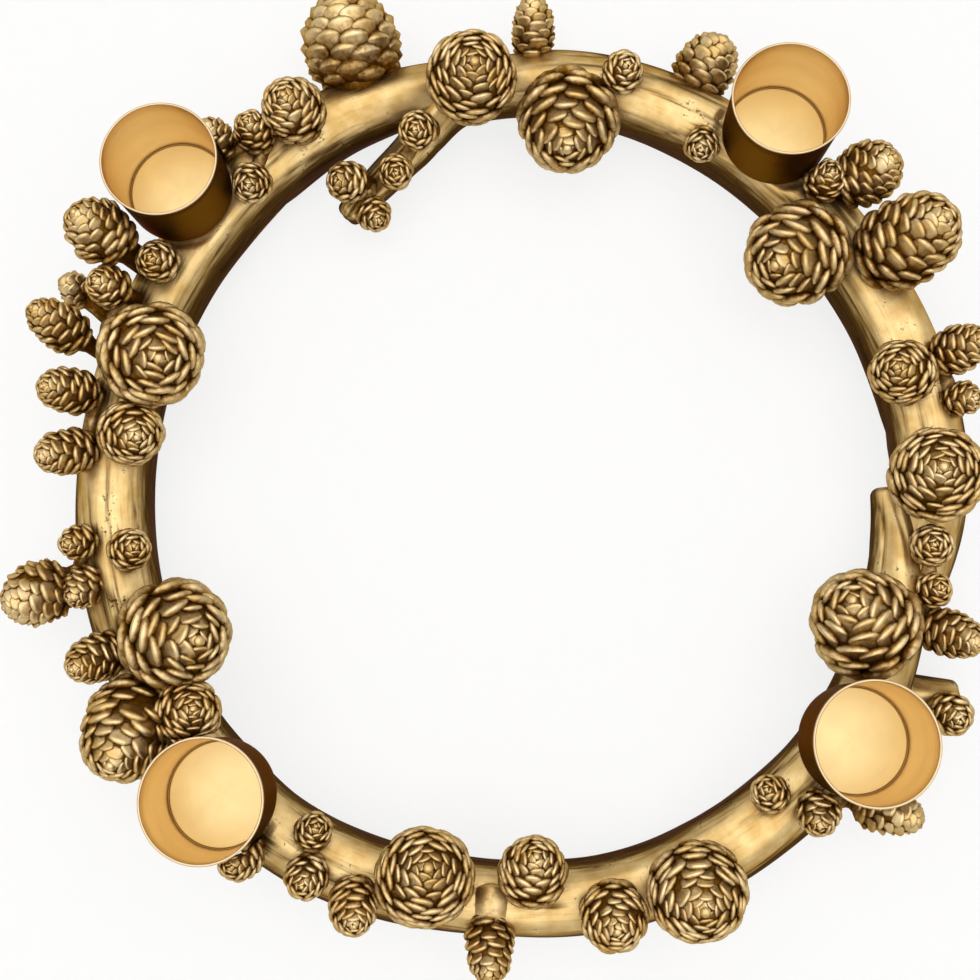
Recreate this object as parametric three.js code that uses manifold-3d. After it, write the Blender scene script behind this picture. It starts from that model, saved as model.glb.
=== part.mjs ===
// Advent wreath: two lapped branches carry cast pine cones, and a candle cup stands at each quarter.
// Millimetres, +Z up. The wreath lies flat on felt pads, with the origin under the middle of its box.
import * as THREE from 'three';
import { mergeVertices } from 'three/addons/utils/BufferGeometryUtils.js';
import Module from 'manifold-3d';

const wasm = await Module();
wasm.setup();

// Ring and branches
const RING_RADIUS = 159;
const BRANCH_RADIUS = 15;
const BRANCH_SIDES = 12;
const SHORT_STEPS = 20;
const LONG_STEPS = 30;
const STUB_STEPS = 3;
const UNDERSIDE_SHARE = 0.87;
const BARK_RIDGES = 5;
const BARK_RELIEF = 0.5;
const BARK_TWIST = 2;
const BARK_WAVES = 3;
const STUB_BEVEL = 1.5;
const GAP = 0.3;
const MERGE_TOLERANCE = 1e-4;

// Felt pads
const PAD_DIAMETER = 13;
const PAD_THICKNESS = 2;

// Candle cups
const CUP_RIM_DIAMETER = 44;
const CUP_BASE_DIAMETER = 41.5;
const CUP_HEIGHT = 34;
const CUP_WALL = 0.8;
const CUP_CORNER = 2.5;
const CUP_SEGMENTS = 20;
const LANDING_DEPTH = 1.8;
const LANDING_MARGIN = 2;

// Stud and flange nut under each cup
const STUD_DIAMETER = 5;
const STUD_TAIL = 1;
const NUT_WALL = 1.2;
const NUT_HEIGHT = 3.5;
const FLANGE_RIM = 1.1;
const FLANGE_THICKNESS = 1.2;
const BOSS_TOP_DIAMETER = 28;
const BOSS_WALL = 3;
const COUNTERBORE_DEPTH = 8;
const COUNTERBORE_MARGIN = 1.5;
const ROUND_SEGMENTS = 10;

// Pine cone sizes: diameter over the scales, length, neck radius, lip of a scale, rows and columns of scales
const GREAT = { diameter: 40, length: 36, neck: 11, lip: 2.4, rows: 7, columns: 8 };
const LARGE = { diameter: 36, length: 33, neck: 10, lip: 2.2, rows: 7, columns: 8 };
const LONG = { diameter: 35, length: 40, neck: 9, lip: 2.4, rows: 7, columns: 8 };
const MEDIUM = { diameter: 25, length: 25, neck: 5, lip: 1.7, rows: 5, columns: 6 };
const SLIM = { diameter: 18, length: 25, neck: 3.2, lip: 1.3, rows: 4, columns: 5 };
const SMALL = { diameter: 16, length: 16, neck: 3.2, lip: 1.2, rows: 4, columns: 5 };
const TINY = { diameter: 13.5, length: 14, neck: 3, lip: 1, rows: 4, columns: 5 };
const CONE_WAIST = 0.38;
const CONE_FOOT = 0.65;
const CONE_CROWN = 0.06;
const SCALE_LEAN = 0.35;
const NECK_ROOT = 7;
const TWIG_RADIUS = 3.2;
const TWIG_RISE = 0.6;
const ENVELOPE_SEGMENTS = 10;
const ENVELOPE_STEPS = 6;

// Branch routes, by angle round the ring: offset from the ring radius, then thickness as a share of the branch
const SHORT_ROUTE = [
  [-26.5, 2, 0.36],
  [-21, 2, 0.6],
  [-12, 2, 0.82],
  [0, 2, 0.97],
  [30, 1, 1],
  [55, 4, 1],
  [75, 5.5, 0.95],
  [87, 4, 0.82],
  [94, 0, 0.68],
  [101, -14, 0.55],
  [108, -22, 0.48],
  [116, -28, 0.36],
];
const LONG_ROUTE = [
  [96, 7, 0.75],
  [110, 6, 0.92],
  [124, 3.5, 1],
  [140, 0, 1],
  [180, -2, 1],
  [210, 0, 1],
  [238, 1, 0.95],
  [260, -1, 0.92],
  [280, 1, 0.93],
  [302, -0.5, 0.95],
  [322, -2, 0.93],
  [340, -7.5, 0.78],
  [353, -11, 0.62],
];
const STUB_ROUTE = [
  [323.5, -2.4, 0.6],
  [325.8, 13.9, 0.56],
  [327.7, 28.5, 0.53],
];

// Cups and pads: name, branch, angle round the ring and offset from the ring radius
const CUPS = [
  ['top_left', 'long', 134, 15],
  ['top_right', 'short', 47.5, 10.5],
  ['bottom_right', 'long', 316, 0],
  ['bottom_left', 'long', 222.5, 2],
];
const PADS = [
  ['right', 'short', 14],
  ['top', 'short', 76],
  ['left', 'long', 180],
  ['bottom', 'long', 268],
];

// Cones of each sprig: size, angle round the ring, side of the branch (0 out, 90 up, 180 in), lean, stem
const SPRIGS = [
  ['short', [LARGE, 91.5, 100, -3, 4]],
  ['short', [SLIM, 82, 24, 0, -2.5]],
  ['short', [GREAT, 76.5, 147, -4, -3.5]],
  ['short', [SMALL, 70, 90, -9, 0]],
  ['short', [MEDIUM, 60.5, 20, -9, -3]],
  ['short', [TINY, 55.5, 129, -11, 1]],
  ['short', [SMALL, 38, 82, 0, 2], [MEDIUM, 36.5, 52, -15, 4]],
  ['short', [GREAT, 32.5, 138, -2, 2]],
  ['short', [LONG, 25.5, 65, -6, -2]],
  ['short', [MEDIUM, 9, 115, 2, -2]],
  ['short', [SLIM, 10, 63, -2, 1], [TINY, 4.5, 57, -15, -1]],
  ['short', [LARGE, -6, 100, 0, -4]],
  ['short', [SMALL, -15, 98, -7, -2], [TINY, -21, 80, 6, -1], [SLIM, -25, 45, -6, 2]],
  ['stub', [SMALL, 327, 70, 8, 0.5]],
  ['long', [GREAT, 330, 123, 15, -1]],
  ['long', [SMALL, 307, 67, -30, 0], [SLIM, 310, 12, 28, 5]],
  ['long', [TINY, 303, 115, -5, 0]],
  ['long', [LARGE, 288, 77, -5, -3]],
  ['long', [MEDIUM, 277, 76, 0, -3]],
  ['long', [MEDIUM, 266.5, 120, 5, 2]],
  ['long', [SLIM, 261.5, 42, 4, -4]],
  ['long', [LARGE, 252, 108, 5, -2]],
  ['long', [SLIM, 243.5, 70, 15, 0]],
  ['long', [SMALL, 237.5, 73, 5, 0], [TINY, 235.5, 116, 4, 0]],
  ['long', [SMALL, 230, 65, -2, 7]],
  ['long', [LONG, 206.8, 66, 29, -4]],
  ['long', [MEDIUM, 211, 112, 7, 2]],
  ['long', [GREAT, 197.5, 126, 22, 7]],
  ['long', [SLIM, 198.5, 60, 10, -2]],
  ['long', [SMALL, 189, 48, 31, -4], [MEDIUM, 187.5, 25, 16, 7], [TINY, 183.5, 63, 10, 0]],
  ['long', [SMALL, 186, 117, 2, 0]],
  ['long', [MEDIUM, 168, 118, 15, -3]],
  ['long', [SLIM, 171, 60, 18, 0], [SLIM, 163.5, 62, 10, 4]],
  ['long', [GREAT, 156, 118, 10, -3.5]],
  ['long', [SLIM, 158, 54, -8, 13], [TINY, 153, 12, -22, 13], [SMALL, 149.5, 68, 6, 9.5]],
  ['long', [MEDIUM, 144.5, 57, 0, 16]],
  ['long', [SMALL, 143.5, 88, 8, 3]],
  ['long', [SMALL, 126, 112, 20, 0], [SMALL, 121.5, 74, 2, 1], [SMALL, 126, 47, -5, 2.5]],
  ['long', [MEDIUM, 115.5, 85, 5, 1]],
  ['long', [GREAT, 105.5, 20, -9, -1]],
  ['short', [SMALL, 99.5, 96, 20, 3], [TINY, 106, 114, 13, 2]],
  ['short', [TINY, 113, 141, 12, 2], [SMALL, 110.5, 83, 31, 9]],
];

// Finishes
const ANTIQUE_GOLD = new THREE.MeshStandardMaterial({ color: 0xa9853f, roughness: 0.38, metalness: 1 });
const CONE_GOLD = new THREE.MeshStandardMaterial({ color: 0x9c7838, roughness: 0.42, metalness: 1 });
const SATIN_GOLD = new THREE.MeshStandardMaterial({ color: 0xc39a4c, roughness: 0.32, metalness: 1 });
const ZINC_STEEL = new THREE.MeshStandardMaterial({ color: 0xb4b2aa, roughness: 0.4, metalness: 1 });
const BROWN_FELT = new THREE.MeshStandardMaterial({ color: 0x4a3a2a, roughness: 0.95, metalness: 0 });

const UP = new THREE.Vector3(0, 0, 1);
const HALF_DEGREE = 0.5;
const undersideHeight = PAD_THICKNESS + GAP;
const nutSeatHeight = undersideHeight + COUNTERBORE_DEPTH;
const nutBoreRadius = STUD_DIAMETER / 2 + GAP;
const nutCornerRadius = ((nutBoreRadius + NUT_WALL) * 2) / Math.sqrt(3);
const flangeRadius = nutCornerRadius + FLANGE_RIM;
const nutBottom = nutSeatHeight - GAP - FLANGE_THICKNESS - NUT_HEIGHT;
const counterboreRadius = flangeRadius + COUNTERBORE_MARGIN;
const studHoleRadius = nutBoreRadius + GAP;
const cupSeatHeight = undersideHeight + (1 + UNDERSIDE_SHARE) * BRANCH_RADIUS - LANDING_DEPTH;

// Solids

function toSolid(geometry) {
  const bare = geometry.clone();
  bare.deleteAttribute('normal');
  bare.deleteAttribute('uv');
  const merged = mergeVertices(bare, MERGE_TOLERANCE);
  const vertProperties = new Float32Array(merged.attributes.position.array);
  const triVerts = new Uint32Array(merged.index.array);
  return new wasm.Manifold(new wasm.Mesh({ numProp: 3, vertProperties, triVerts }));
}

function toGeometry(solid) {
  const { vertProperties, triVerts } = solid.getMesh();
  const geometry = new THREE.BufferGeometry();
  geometry.setAttribute('position', new THREE.BufferAttribute(vertProperties, 3));
  geometry.setIndex(new THREE.BufferAttribute(triVerts, 1));
  geometry.computeVertexNormals();
  return geometry;
}

function mainBody(solid) {
  return solid.decompose().reduce((best, body) => (body.volume() > best.volume() ? body : best));
}

function fromFaces(points, faces) {
  const geometry = new THREE.BufferGeometry().setFromPoints(points);
  geometry.setIndex(faces.flat());
  return geometry;
}

// Closed skin over rings of equal point counts, with a fan over each end.
function loft(rings) {
  const count = rings[0].length;
  const centre = (ring) => ring.reduce((sum, p) => sum.add(p), new THREE.Vector3()).divideScalar(count);
  const points = [...rings.flat(), centre(rings[0]), centre(rings.at(-1))];
  const first = points.length - 2;
  const last = points.length - 1;
  const top = (rings.length - 1) * count;
  const faces = [];
  for (let k = 0; k < count; k += 1) {
    const next = (k + 1) % count;
    for (let base = 0; base < top; base += count) {
      faces.push([base + k, base + count + next, base + next]);
      faces.push([base + k, base + count + k, base + count + next]);
    }
    faces.push([first, k, next]);
    faces.push([last, top + next, top + k]);
  }
  return fromFaces(points, faces);
}

function cylinder(bottomRadius, topRadius, bottom, top, segments) {
  const geometry = new THREE.CylinderGeometry(topRadius, bottomRadius, top - bottom, segments);
  geometry.rotateX(Math.PI / 2);
  geometry.translate(0, 0, (bottom + top) / 2);
  return geometry;
}

function polar(angle, radius, height) {
  const turn = THREE.MathUtils.degToRad(angle);
  return new THREE.Vector3(radius * Math.cos(turn), radius * Math.sin(turn), height);
}

// Branches

function makeRoute(points, steps) {
  const angles = points.map(([angle]) => angle);
  const start = angles[0];
  const end = angles.at(-1);
  const values = points.flatMap(([, offset, share]) => [offset, share]);
  const curve = new THREE.CubicInterpolant(angles, values, 2, []);
  const locate = (angle) => {
    const [offset, share] = curve.evaluate(angle);
    const radius = BRANCH_RADIUS * share;
    const centre = polar(angle, RING_RADIUS + offset, undersideHeight + UNDERSIDE_SHARE * radius);
    return { centre, radius };
  };
  const frameAt = (angle) => {
    const { centre, radius } = locate(angle);
    const ahead = locate(Math.min(angle + HALF_DEGREE, end)).centre;
    const behind = locate(Math.max(angle - HALF_DEGREE, start)).centre;
    const along = ahead.sub(behind).setZ(0).normalize();
    const outward = along.clone().cross(UP);
    return { centre, radius, along, outward };
  };
  return { start, end, steps, frameAt };
}

const ROUTES = {
  short: makeRoute(SHORT_ROUTE, SHORT_STEPS),
  long: makeRoute(LONG_ROUTE, LONG_STEPS),
  stub: makeRoute(STUB_ROUTE, STUB_STEPS),
};
const BRANCHES = { short: [ROUTES.short], long: [ROUTES.long, ROUTES.stub] };

// One section of a branch: round, ridged with bark, and flat underneath.
function branchSection(frame, angle, shrink, push, grow) {
  const wander = BARK_TWIST * Math.sin(THREE.MathUtils.degToRad(BARK_WAVES * angle));
  const floor = -UNDERSIDE_SHARE * frame.radius - grow;
  return Array.from({ length: BRANCH_SIDES }, (_, k) => {
    const side = (2 * Math.PI * k) / BRANCH_SIDES;
    const ridge = BARK_RELIEF * Math.cos(BARK_RIDGES * side + wander);
    const radius = frame.radius + ridge - shrink + grow;
    const point = frame.centre.clone().addScaledVector(frame.along, push);
    point.addScaledVector(frame.outward, radius * Math.cos(side));
    return point.addScaledVector(UP, Math.max(radius * Math.sin(side), floor));
  });
}

function branchGeometry(route, grow) {
  const rings = [];
  for (let i = 0; i <= route.steps; i += 1) {
    const angle = route.start + ((route.end - route.start) * i) / route.steps;
    rings.push(branchSection(route.frameAt(angle), angle, 0, 0, grow));
  }
  const first = branchSection(route.frameAt(route.start), route.start, STUB_BEVEL, -STUB_BEVEL - grow, grow);
  const last = branchSection(route.frameAt(route.end), route.end, STUB_BEVEL, STUB_BEVEL + grow, grow);
  return loft([first, ...rings, last]);
}

// Candle cups, with what fastens each to its branch

function cupProfile(grow) {
  const rim = CUP_RIM_DIAMETER / 2 + grow;
  const base = CUP_BASE_DIAMETER / 2 + grow;
  const outline = new THREE.Path();
  outline.moveTo(0, -grow);
  outline.lineTo(base - CUP_CORNER, -grow);
  outline.quadraticCurveTo(base, -grow, base, CUP_CORNER);
  outline.lineTo(rim, CUP_HEIGHT + grow);
  return outline;
}

function cupGeometry() {
  const rim = CUP_RIM_DIAMETER / 2 - CUP_WALL;
  const base = CUP_BASE_DIAMETER / 2 - CUP_WALL;
  const outline = cupProfile(0);
  outline.lineTo(rim, CUP_HEIGHT);
  outline.lineTo(base, CUP_CORNER);
  outline.quadraticCurveTo(base, CUP_WALL, base - CUP_CORNER + CUP_WALL, CUP_WALL);
  outline.lineTo(0, CUP_WALL);
  return new THREE.LatheGeometry(outline.getPoints(2), CUP_SEGMENTS).rotateX(Math.PI / 2);
}

function cupEnvelope(grow) {
  const outline = cupProfile(grow);
  outline.lineTo(0, CUP_HEIGHT + grow);
  return new THREE.LatheGeometry(outline.getPoints(2), CUP_SEGMENTS).rotateX(Math.PI / 2);
}

function ringShape(outer, hole) {
  const shape = new THREE.Shape(outer);
  const path = new THREE.Path();
  path.absarc(0, 0, hole, 0, 2 * Math.PI, true);
  shape.holes.push(path);
  return shape;
}

function polygon(radius, sides) {
  return Array.from({ length: sides }, (_, k) => {
    const turn = (2 * Math.PI * k) / sides;
    return new THREE.Vector2(radius * Math.cos(turn), radius * Math.sin(turn));
  });
}

function flangeNutSolid() {
  const hexagon = polygon(nutCornerRadius, 6);
  const disc = polygon(flangeRadius, ROUND_SEGMENTS);
  const settings = { bevelEnabled: false, curveSegments: ROUND_SEGMENTS / 2 };
  const body = new THREE.ExtrudeGeometry(ringShape(hexagon, nutBoreRadius), { ...settings, depth: NUT_HEIGHT });
  const flange = new THREE.ExtrudeGeometry(ringShape(disc, nutBoreRadius), { ...settings, depth: FLANGE_THICKNESS });
  flange.translate(0, 0, NUT_HEIGHT);
  return toSolid(body).add(toSolid(flange));
}

const cups = CUPS.map(([name, branch, angle, offset]) => {
  const place = polar(angle, RING_RADIUS + offset, 0);
  return { name, branch, place };
});

// Cast boss that carries a cup on its branch
function bossSolid(cup, grow) {
  const bottom = counterboreRadius + BOSS_WALL + grow;
  const top = BOSS_TOP_DIAMETER / 2 + grow;
  const boss = cylinder(bottom, top, undersideHeight - grow, cupSeatHeight, ROUND_SEGMENTS);
  return toSolid(boss).translate(cup.place.toArray());
}

function landingSolid(cup) {
  const radius = CUP_BASE_DIAMETER / 2 + LANDING_MARGIN;
  const landing = cylinder(radius, radius, cupSeatHeight, cupSeatHeight + CUP_HEIGHT, ROUND_SEGMENTS);
  return toSolid(landing).translate(cup.place.toArray());
}

function fastenerHoles(cup) {
  const bore = cylinder(studHoleRadius, studHoleRadius, 0, cupSeatHeight + GAP, ROUND_SEGMENTS);
  const counterbore = cylinder(counterboreRadius, counterboreRadius, 0, nutSeatHeight, ROUND_SEGMENTS);
  return toSolid(bore).add(toSolid(counterbore)).translate(cup.place.toArray());
}

function branchSolid(name, grow) {
  let solid = BRANCHES[name].map((route) => toSolid(branchGeometry(route, grow))).reduce((a, b) => a.add(b));
  cups.filter((cup) => cup.branch === name).forEach((cup) => {
    solid = solid.add(bossSolid(cup, grow));
  });
  cups.forEach((cup) => {
    solid = solid.subtract(landingSolid(cup));
  });
  return solid;
}

function pierced(name, solid) {
  return cups.filter((cup) => cup.branch === name).reduce((body, cup) => body.subtract(fastenerHoles(cup)), solid);
}

// Pine cones

// Point of a cone's egg and the way out of it, from 0 at the foot to 1 at the tip.
function eggPoint(size, share, turn, lift) {
  const foot = Math.acos(CONE_FOOT);
  const waist = CONE_WAIST * size.length;
  const swing = -foot + share * (Math.PI / 2 + foot);
  const radius = size.diameter / 2 - size.lip;
  const reach = swing < 0 ? waist / Math.sin(foot) : size.length - waist - size.lip;
  const normal = new THREE.Vector2(reach * Math.cos(swing), radius * Math.sin(swing)).normalize();
  const out = radius * Math.cos(swing) + lift * normal.x;
  const height = waist + reach * Math.sin(swing) + lift * normal.y;
  return new THREE.Vector3(out * Math.cos(turn), out * Math.sin(turn), height);
}

// Cone on its neck: a lattice of diamond scales, each raised to a lip that leans to the tip.
function coneGeometry(size, stem) {
  const { rows, columns, lip } = size;
  const step = (2 * Math.PI) / columns;
  const points = [];
  const faces = [];
  const add = (point) => points.push(point) - 1;
  const share = (row) => ((1 - CONE_CROWN) * row) / rows;
  const index = (row, column) => row * columns + ((column + columns) % columns);
  for (let row = 0; row <= rows; row += 1) {
    for (let column = 0; column < columns; column += 1) {
      add(eggPoint(size, share(row), (column + (row % 2) / 2) * step, 0));
    }
  }
  for (let row = 1; row < rows; row += 1) {
    for (let column = 0; column < columns; column += 1) {
      const middle = column + (row % 2);
      const turn = (column + 0.5 + (row % 2) / 2) * step;
      const apex = add(eggPoint(size, share(row + SCALE_LEAN), turn, lip));
      const ring = [index(row - 1, middle), index(row, column + 1), index(row + 1, middle), index(row, column)];
      ring.forEach((corner, k) => faces.push([corner, ring[(k + 1) % 4], apex]));
    }
  }
  const tip = add(eggPoint(size, 1, 0, lip));
  const root = -Math.max(stem, 0) - NECK_ROOT;
  const rootStart = points.length;
  for (let column = 0; column < columns; column += 1) {
    add(polar((360 * column) / columns, size.neck, root));
  }
  const rootCentre = add(new THREE.Vector3(0, 0, root));
  for (let k = 0; k < columns; k += 1) {
    const next = (k + 1) % columns;
    faces.push([index(0, k), index(0, next), index(1, k)]);
    faces.push([index(rows, next), index(rows, k), index(rows - 1, k + 1 - (rows % 2 ? 0 : 1))]);
    faces.push([index(rows, k), index(rows, next), tip]);
    faces.push([rootStart + k, rootStart + next, index(0, next)]);
    faces.push([rootStart + k, index(0, next), index(0, k)]);
    faces.push([rootCentre, rootStart + next, rootStart + k]);
  }
  return fromFaces(points, faces);
}

// Plain form that stands clear of a cone's scales, to fit its neighbours against
function coneEnvelope(size, stem) {
  const spread = 1 / Math.cos(Math.PI / ENVELOPE_SEGMENTS);
  const foot = -Math.max(stem, 0) - NECK_ROOT;
  const outline = [new THREE.Vector2(0, foot), new THREE.Vector2((size.neck + GAP) * spread, foot)];
  for (let i = 0; i < ENVELOPE_STEPS; i += 1) {
    const point = eggPoint(size, i / ENVELOPE_STEPS, 0, size.lip + 2 * GAP);
    outline.push(new THREE.Vector2(point.x * spread, point.z));
  }
  outline.push(new THREE.Vector2(0, size.length + 2 * GAP));
  return new THREE.LatheGeometry(outline, ENVELOPE_SEGMENTS).rotateX(Math.PI / 2);
}

function seatAt(branch, angle, side, lean) {
  const frame = ROUTES[branch].frameAt(angle);
  const turn = THREE.MathUtils.degToRad(side);
  const tilt = THREE.MathUtils.degToRad(lean);
  const normal = frame.outward.clone().multiplyScalar(Math.cos(turn)).addScaledVector(UP, Math.sin(turn));
  const axis = normal.clone().multiplyScalar(Math.cos(tilt)).addScaledVector(frame.along, Math.sin(tilt));
  const bark = frame.centre.clone().addScaledVector(normal, frame.radius);
  return { bark, normal, axis };
}

function coneSolid(branch, [size, angle, side, lean, stem], shape) {
  const { bark, axis } = seatAt(branch, angle, side, lean);
  const geometry = shape(size, stem);
  geometry.applyQuaternion(new THREE.Quaternion().setFromUnitVectors(UP, axis));
  return toSolid(geometry).translate(bark.addScaledVector(axis, stem).toArray());
}

// Twig along the bark that joins the cones of one sprig
function twigSolid(branch, cones, grow) {
  const seats = cones.map(([, angle, side, lean]) => {
    const { bark, normal } = seatAt(branch, angle, side, lean);
    return bark.addScaledVector(normal, TWIG_RISE);
  });
  const extrudePath = new THREE.CatmullRomCurve3(seats);
  const section = new THREE.Shape(polygon(TWIG_RADIUS + grow, 6));
  const steps = 2 * (seats.length - 1);
  return toSolid(new THREE.ExtrudeGeometry(section, { steps, extrudePath, bevelEnabled: false }));
}

function sprigSolid([branch, ...cones], shape, grow) {
  const solids = cones.map((cone) => coneSolid(branch, cone, shape));
  if (cones.length > 1) {
    solids.push(twigSolid(branch, cones, grow));
  }
  return solids.reduce((whole, solid) => whole.add(solid));
}

// Assembly

const wreath = new THREE.Group();

function addPiece(name, solid, material) {
  const mesh = new THREE.Mesh(toGeometry(solid), material);
  mesh.name = name;
  wreath.add(mesh);
}

const shortBranch = branchSolid('short', 0);
const grownShort = branchSolid('short', GAP);
const longBranch = mainBody(branchSolid('long', 0).subtract(grownShort));
const grownLong = branchSolid('long', GAP);
addPiece('branch_short', pierced('short', shortBranch), ANTIQUE_GOLD);
addPiece('branch_long', pierced('long', longBranch), ANTIQUE_GOLD);

const keepOut = [grownShort, grownLong];
const studRadius = STUD_DIAMETER / 2;
const stud = toSolid(cylinder(studRadius, studRadius, nutBottom - STUD_TAIL, cupSeatHeight, ROUND_SEGMENTS));
cups.forEach(({ name, place }) => {
  const standing = place.clone().setZ(cupSeatHeight + GAP).toArray();
  addPiece(`candle_cup_${name}`, toSolid(cupGeometry()).translate(standing), SATIN_GOLD);
  addPiece(`cup_stud_${name}`, stud.translate(place.toArray()), ZINC_STEEL);
  addPiece(`flange_nut_${name}`, flangeNutSolid().translate(place.clone().setZ(nutBottom).toArray()), ZINC_STEEL);
  keepOut.push(toSolid(cupEnvelope(GAP)).translate(standing));
});

PADS.forEach(([name, branch, angle]) => {
  const { centre } = ROUTES[branch].frameAt(angle);
  const pad = cylinder(PAD_DIAMETER / 2, PAD_DIAMETER / 2, 0, PAD_THICKNESS, ROUND_SEGMENTS);
  addPiece(`felt_pad_${name}`, toSolid(pad).translate(centre.setZ(0).toArray()), BROWN_FELT);
});

// Larger cones keep their whole form, and the smaller ones are fitted against them.
const order = SPRIGS.map((sprig, i) => ({ sprig, number: i + 1, whole: sprigSolid(sprig, coneGeometry, 0) }));
order.sort((a, b) => b.whole.volume() - a.whole.volume());
order.forEach(({ sprig, number, whole }) => {
  const fitted = keepOut.reduce((solid, neighbour) => solid.subtract(neighbour), whole);
  const kind = sprig.length > 2 ? 'cone_sprig' : 'pine_cone';
  addPiece(`${kind}_${String(number).padStart(2, '0')}`, mainBody(fitted), CONE_GOLD);
  keepOut.push(sprigSolid(sprig, coneEnvelope, GAP));
});

const box = new THREE.Box3().setFromObject(wreath);
const middle = box.getCenter(new THREE.Vector3());
wreath.position.set(-middle.x, -middle.y, -box.min.z);

export default wreath;
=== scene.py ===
"""Advent wreath: antique gold branches with pine cones and four candle cups, dressed over its solids."""
import math
from bisect import bisect_right

import bmesh
import bpy
from bpy.props import FloatProperty, FloatVectorProperty, IntProperty, PointerProperty
from bpy.types import Operator, Panel, PropertyGroup
from mathutils import Matrix, Vector, kdtree, noise


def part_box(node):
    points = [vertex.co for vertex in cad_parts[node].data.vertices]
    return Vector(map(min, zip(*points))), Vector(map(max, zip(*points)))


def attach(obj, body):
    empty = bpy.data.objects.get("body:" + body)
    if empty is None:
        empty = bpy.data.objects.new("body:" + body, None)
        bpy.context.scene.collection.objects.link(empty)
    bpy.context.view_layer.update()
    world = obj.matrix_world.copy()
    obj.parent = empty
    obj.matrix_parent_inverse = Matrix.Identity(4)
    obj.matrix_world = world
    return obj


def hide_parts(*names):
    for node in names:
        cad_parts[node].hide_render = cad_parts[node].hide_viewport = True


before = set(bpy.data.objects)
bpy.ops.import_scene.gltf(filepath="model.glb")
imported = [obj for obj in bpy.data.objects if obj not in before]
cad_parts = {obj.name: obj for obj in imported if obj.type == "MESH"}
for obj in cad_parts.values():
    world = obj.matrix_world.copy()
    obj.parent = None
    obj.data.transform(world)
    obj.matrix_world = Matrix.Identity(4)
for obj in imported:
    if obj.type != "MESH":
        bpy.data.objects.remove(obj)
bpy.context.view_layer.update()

bl_info = {
    "name": "Advent Wreath",
    "version": (1, 0, 0),
    "blender": (4, 5, 0),
    "location": "3D View > Sidebar > Wreath",
    "description": "Builds an antique gold advent wreath over its packed solids",
    "category": "Add Mesh",
}

MM = 0.001
UP = Vector((0, 0, 1))
BODY = "root"

# Branch routes, by angle round the ring: offset from the ring radius in mm, thickness as a share
SHORT_ROUTE = (
    (-26.5, 2, 0.36),
    (-21, 2, 0.6),
    (-12, 2, 0.82),
    (0, 2, 0.97),
    (30, 1, 1),
    (55, 4, 1),
    (75, 5.5, 0.95),
    (87, 4, 0.82),
    (94, 0, 0.68),
    (101, -14, 0.55),
    (108, -22, 0.48),
    (116, -28, 0.36),
)
LONG_ROUTE = (
    (96, 7, 0.75),
    (110, 6, 0.92),
    (124, 3.5, 1),
    (140, 0, 1),
    (180, -2, 1),
    (210, 0, 1),
    (238, 1, 0.95),
    (260, -1, 0.92),
    (280, 1, 0.93),
    (302, -0.5, 0.95),
    (322, -2, 0.93),
    (340, -7.5, 0.78),
    (353, -11, 0.62),
)
STUB_ROUTE = (
    (323.5, -2.4, 0.6),
    (325.8, 13.9, 0.56),
    (327.7, 28.5, 0.53),
)
ROUTES = {"short": SHORT_ROUTE, "long": LONG_ROUTE, "stub": STUB_ROUTE}
BRANCHES = {"short": ("short",), "long": ("long", "stub")}
RING_RADIUS = 159 * MM
BRANCH_RADIUS = 15 * MM
UNDERSIDE_SHARE = 0.87
STUB_ROUND = 3 * MM
STUB_REACH = 1.5 * MM
HALF_DEGREE = 0.5

# Bark: points round a section, places along a route, and the spacing of its forms across and along a branch
SECTION_POINTS = 96
ROUTE_SAMPLES = 100
ROUNDING_STEPS = 6
BARK_RIDGES = 5
BARK_TWIST = 2
BARK_WAVES = 3
LUMP_SPACING = (13 * MM, 28 * MM)
CREASE_SPACING = (9 * MM, 75 * MM)
CREASE_SHARPNESS = 9
FADE_SPACING = (22 * MM, 45 * MM)
FADE_SHIFT = 315 * MM
FADE_LEVELS = (-0.15, 0.25)
FLANK_LEVELS = (0.9, 0.12)
# Darkening of the bark: antique wash in the creases, wash and painted shade down the lower flanks, darker at
# the cut ends, painted shadow round the cones' feet, and painted light that lifts it where one branch lies
# against another
CREASE_WASH = 0.65
FLANK_WASH_AND_SHADE = 1.1
END_WASH = 0.2
SEAT_SHADOW = 0.75
SEAT_SHADE = 6 * MM
LAP_LIGHT = 0.6
LAP_REACH = 7 * MM
# Radius that the pattern on a turned piece is wound at
GRAIN_RADIUS = 10 * MM

# Cups: branch, angle round the ring and offset from the ring radius in mm
CUPS = {
    "top_left": ("long", 134, 15),
    "top_right": ("short", 47.5, 10.5),
    "bottom_right": ("long", 316, 0),
    "bottom_left": ("long", 222.5, 2),
}
PADS = ("right", "top", "left", "bottom")
# Landing under a cup, the room that cones leave for it, and the boss and holes for its stud and nut
LANDING_RADIUS = 22.75 * MM
CUP_REACH = 22.3 * MM
BOSS_FOOT_RADIUS = 10.2 * MM
BOSS_TOP_RADIUS = 14 * MM
BOSS_POINTS = 48
BOSS_WASH = 0.7
COUNTERBORE_RADIUS = 7.22 * MM
STUD_HOLE_RADIUS = 3.1 * MM
NUT_CLEARANCE = 0.3 * MM
DRILL_WASH = 0.9
CUP_POINTS = 128
WALL_STEPS = 6

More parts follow.
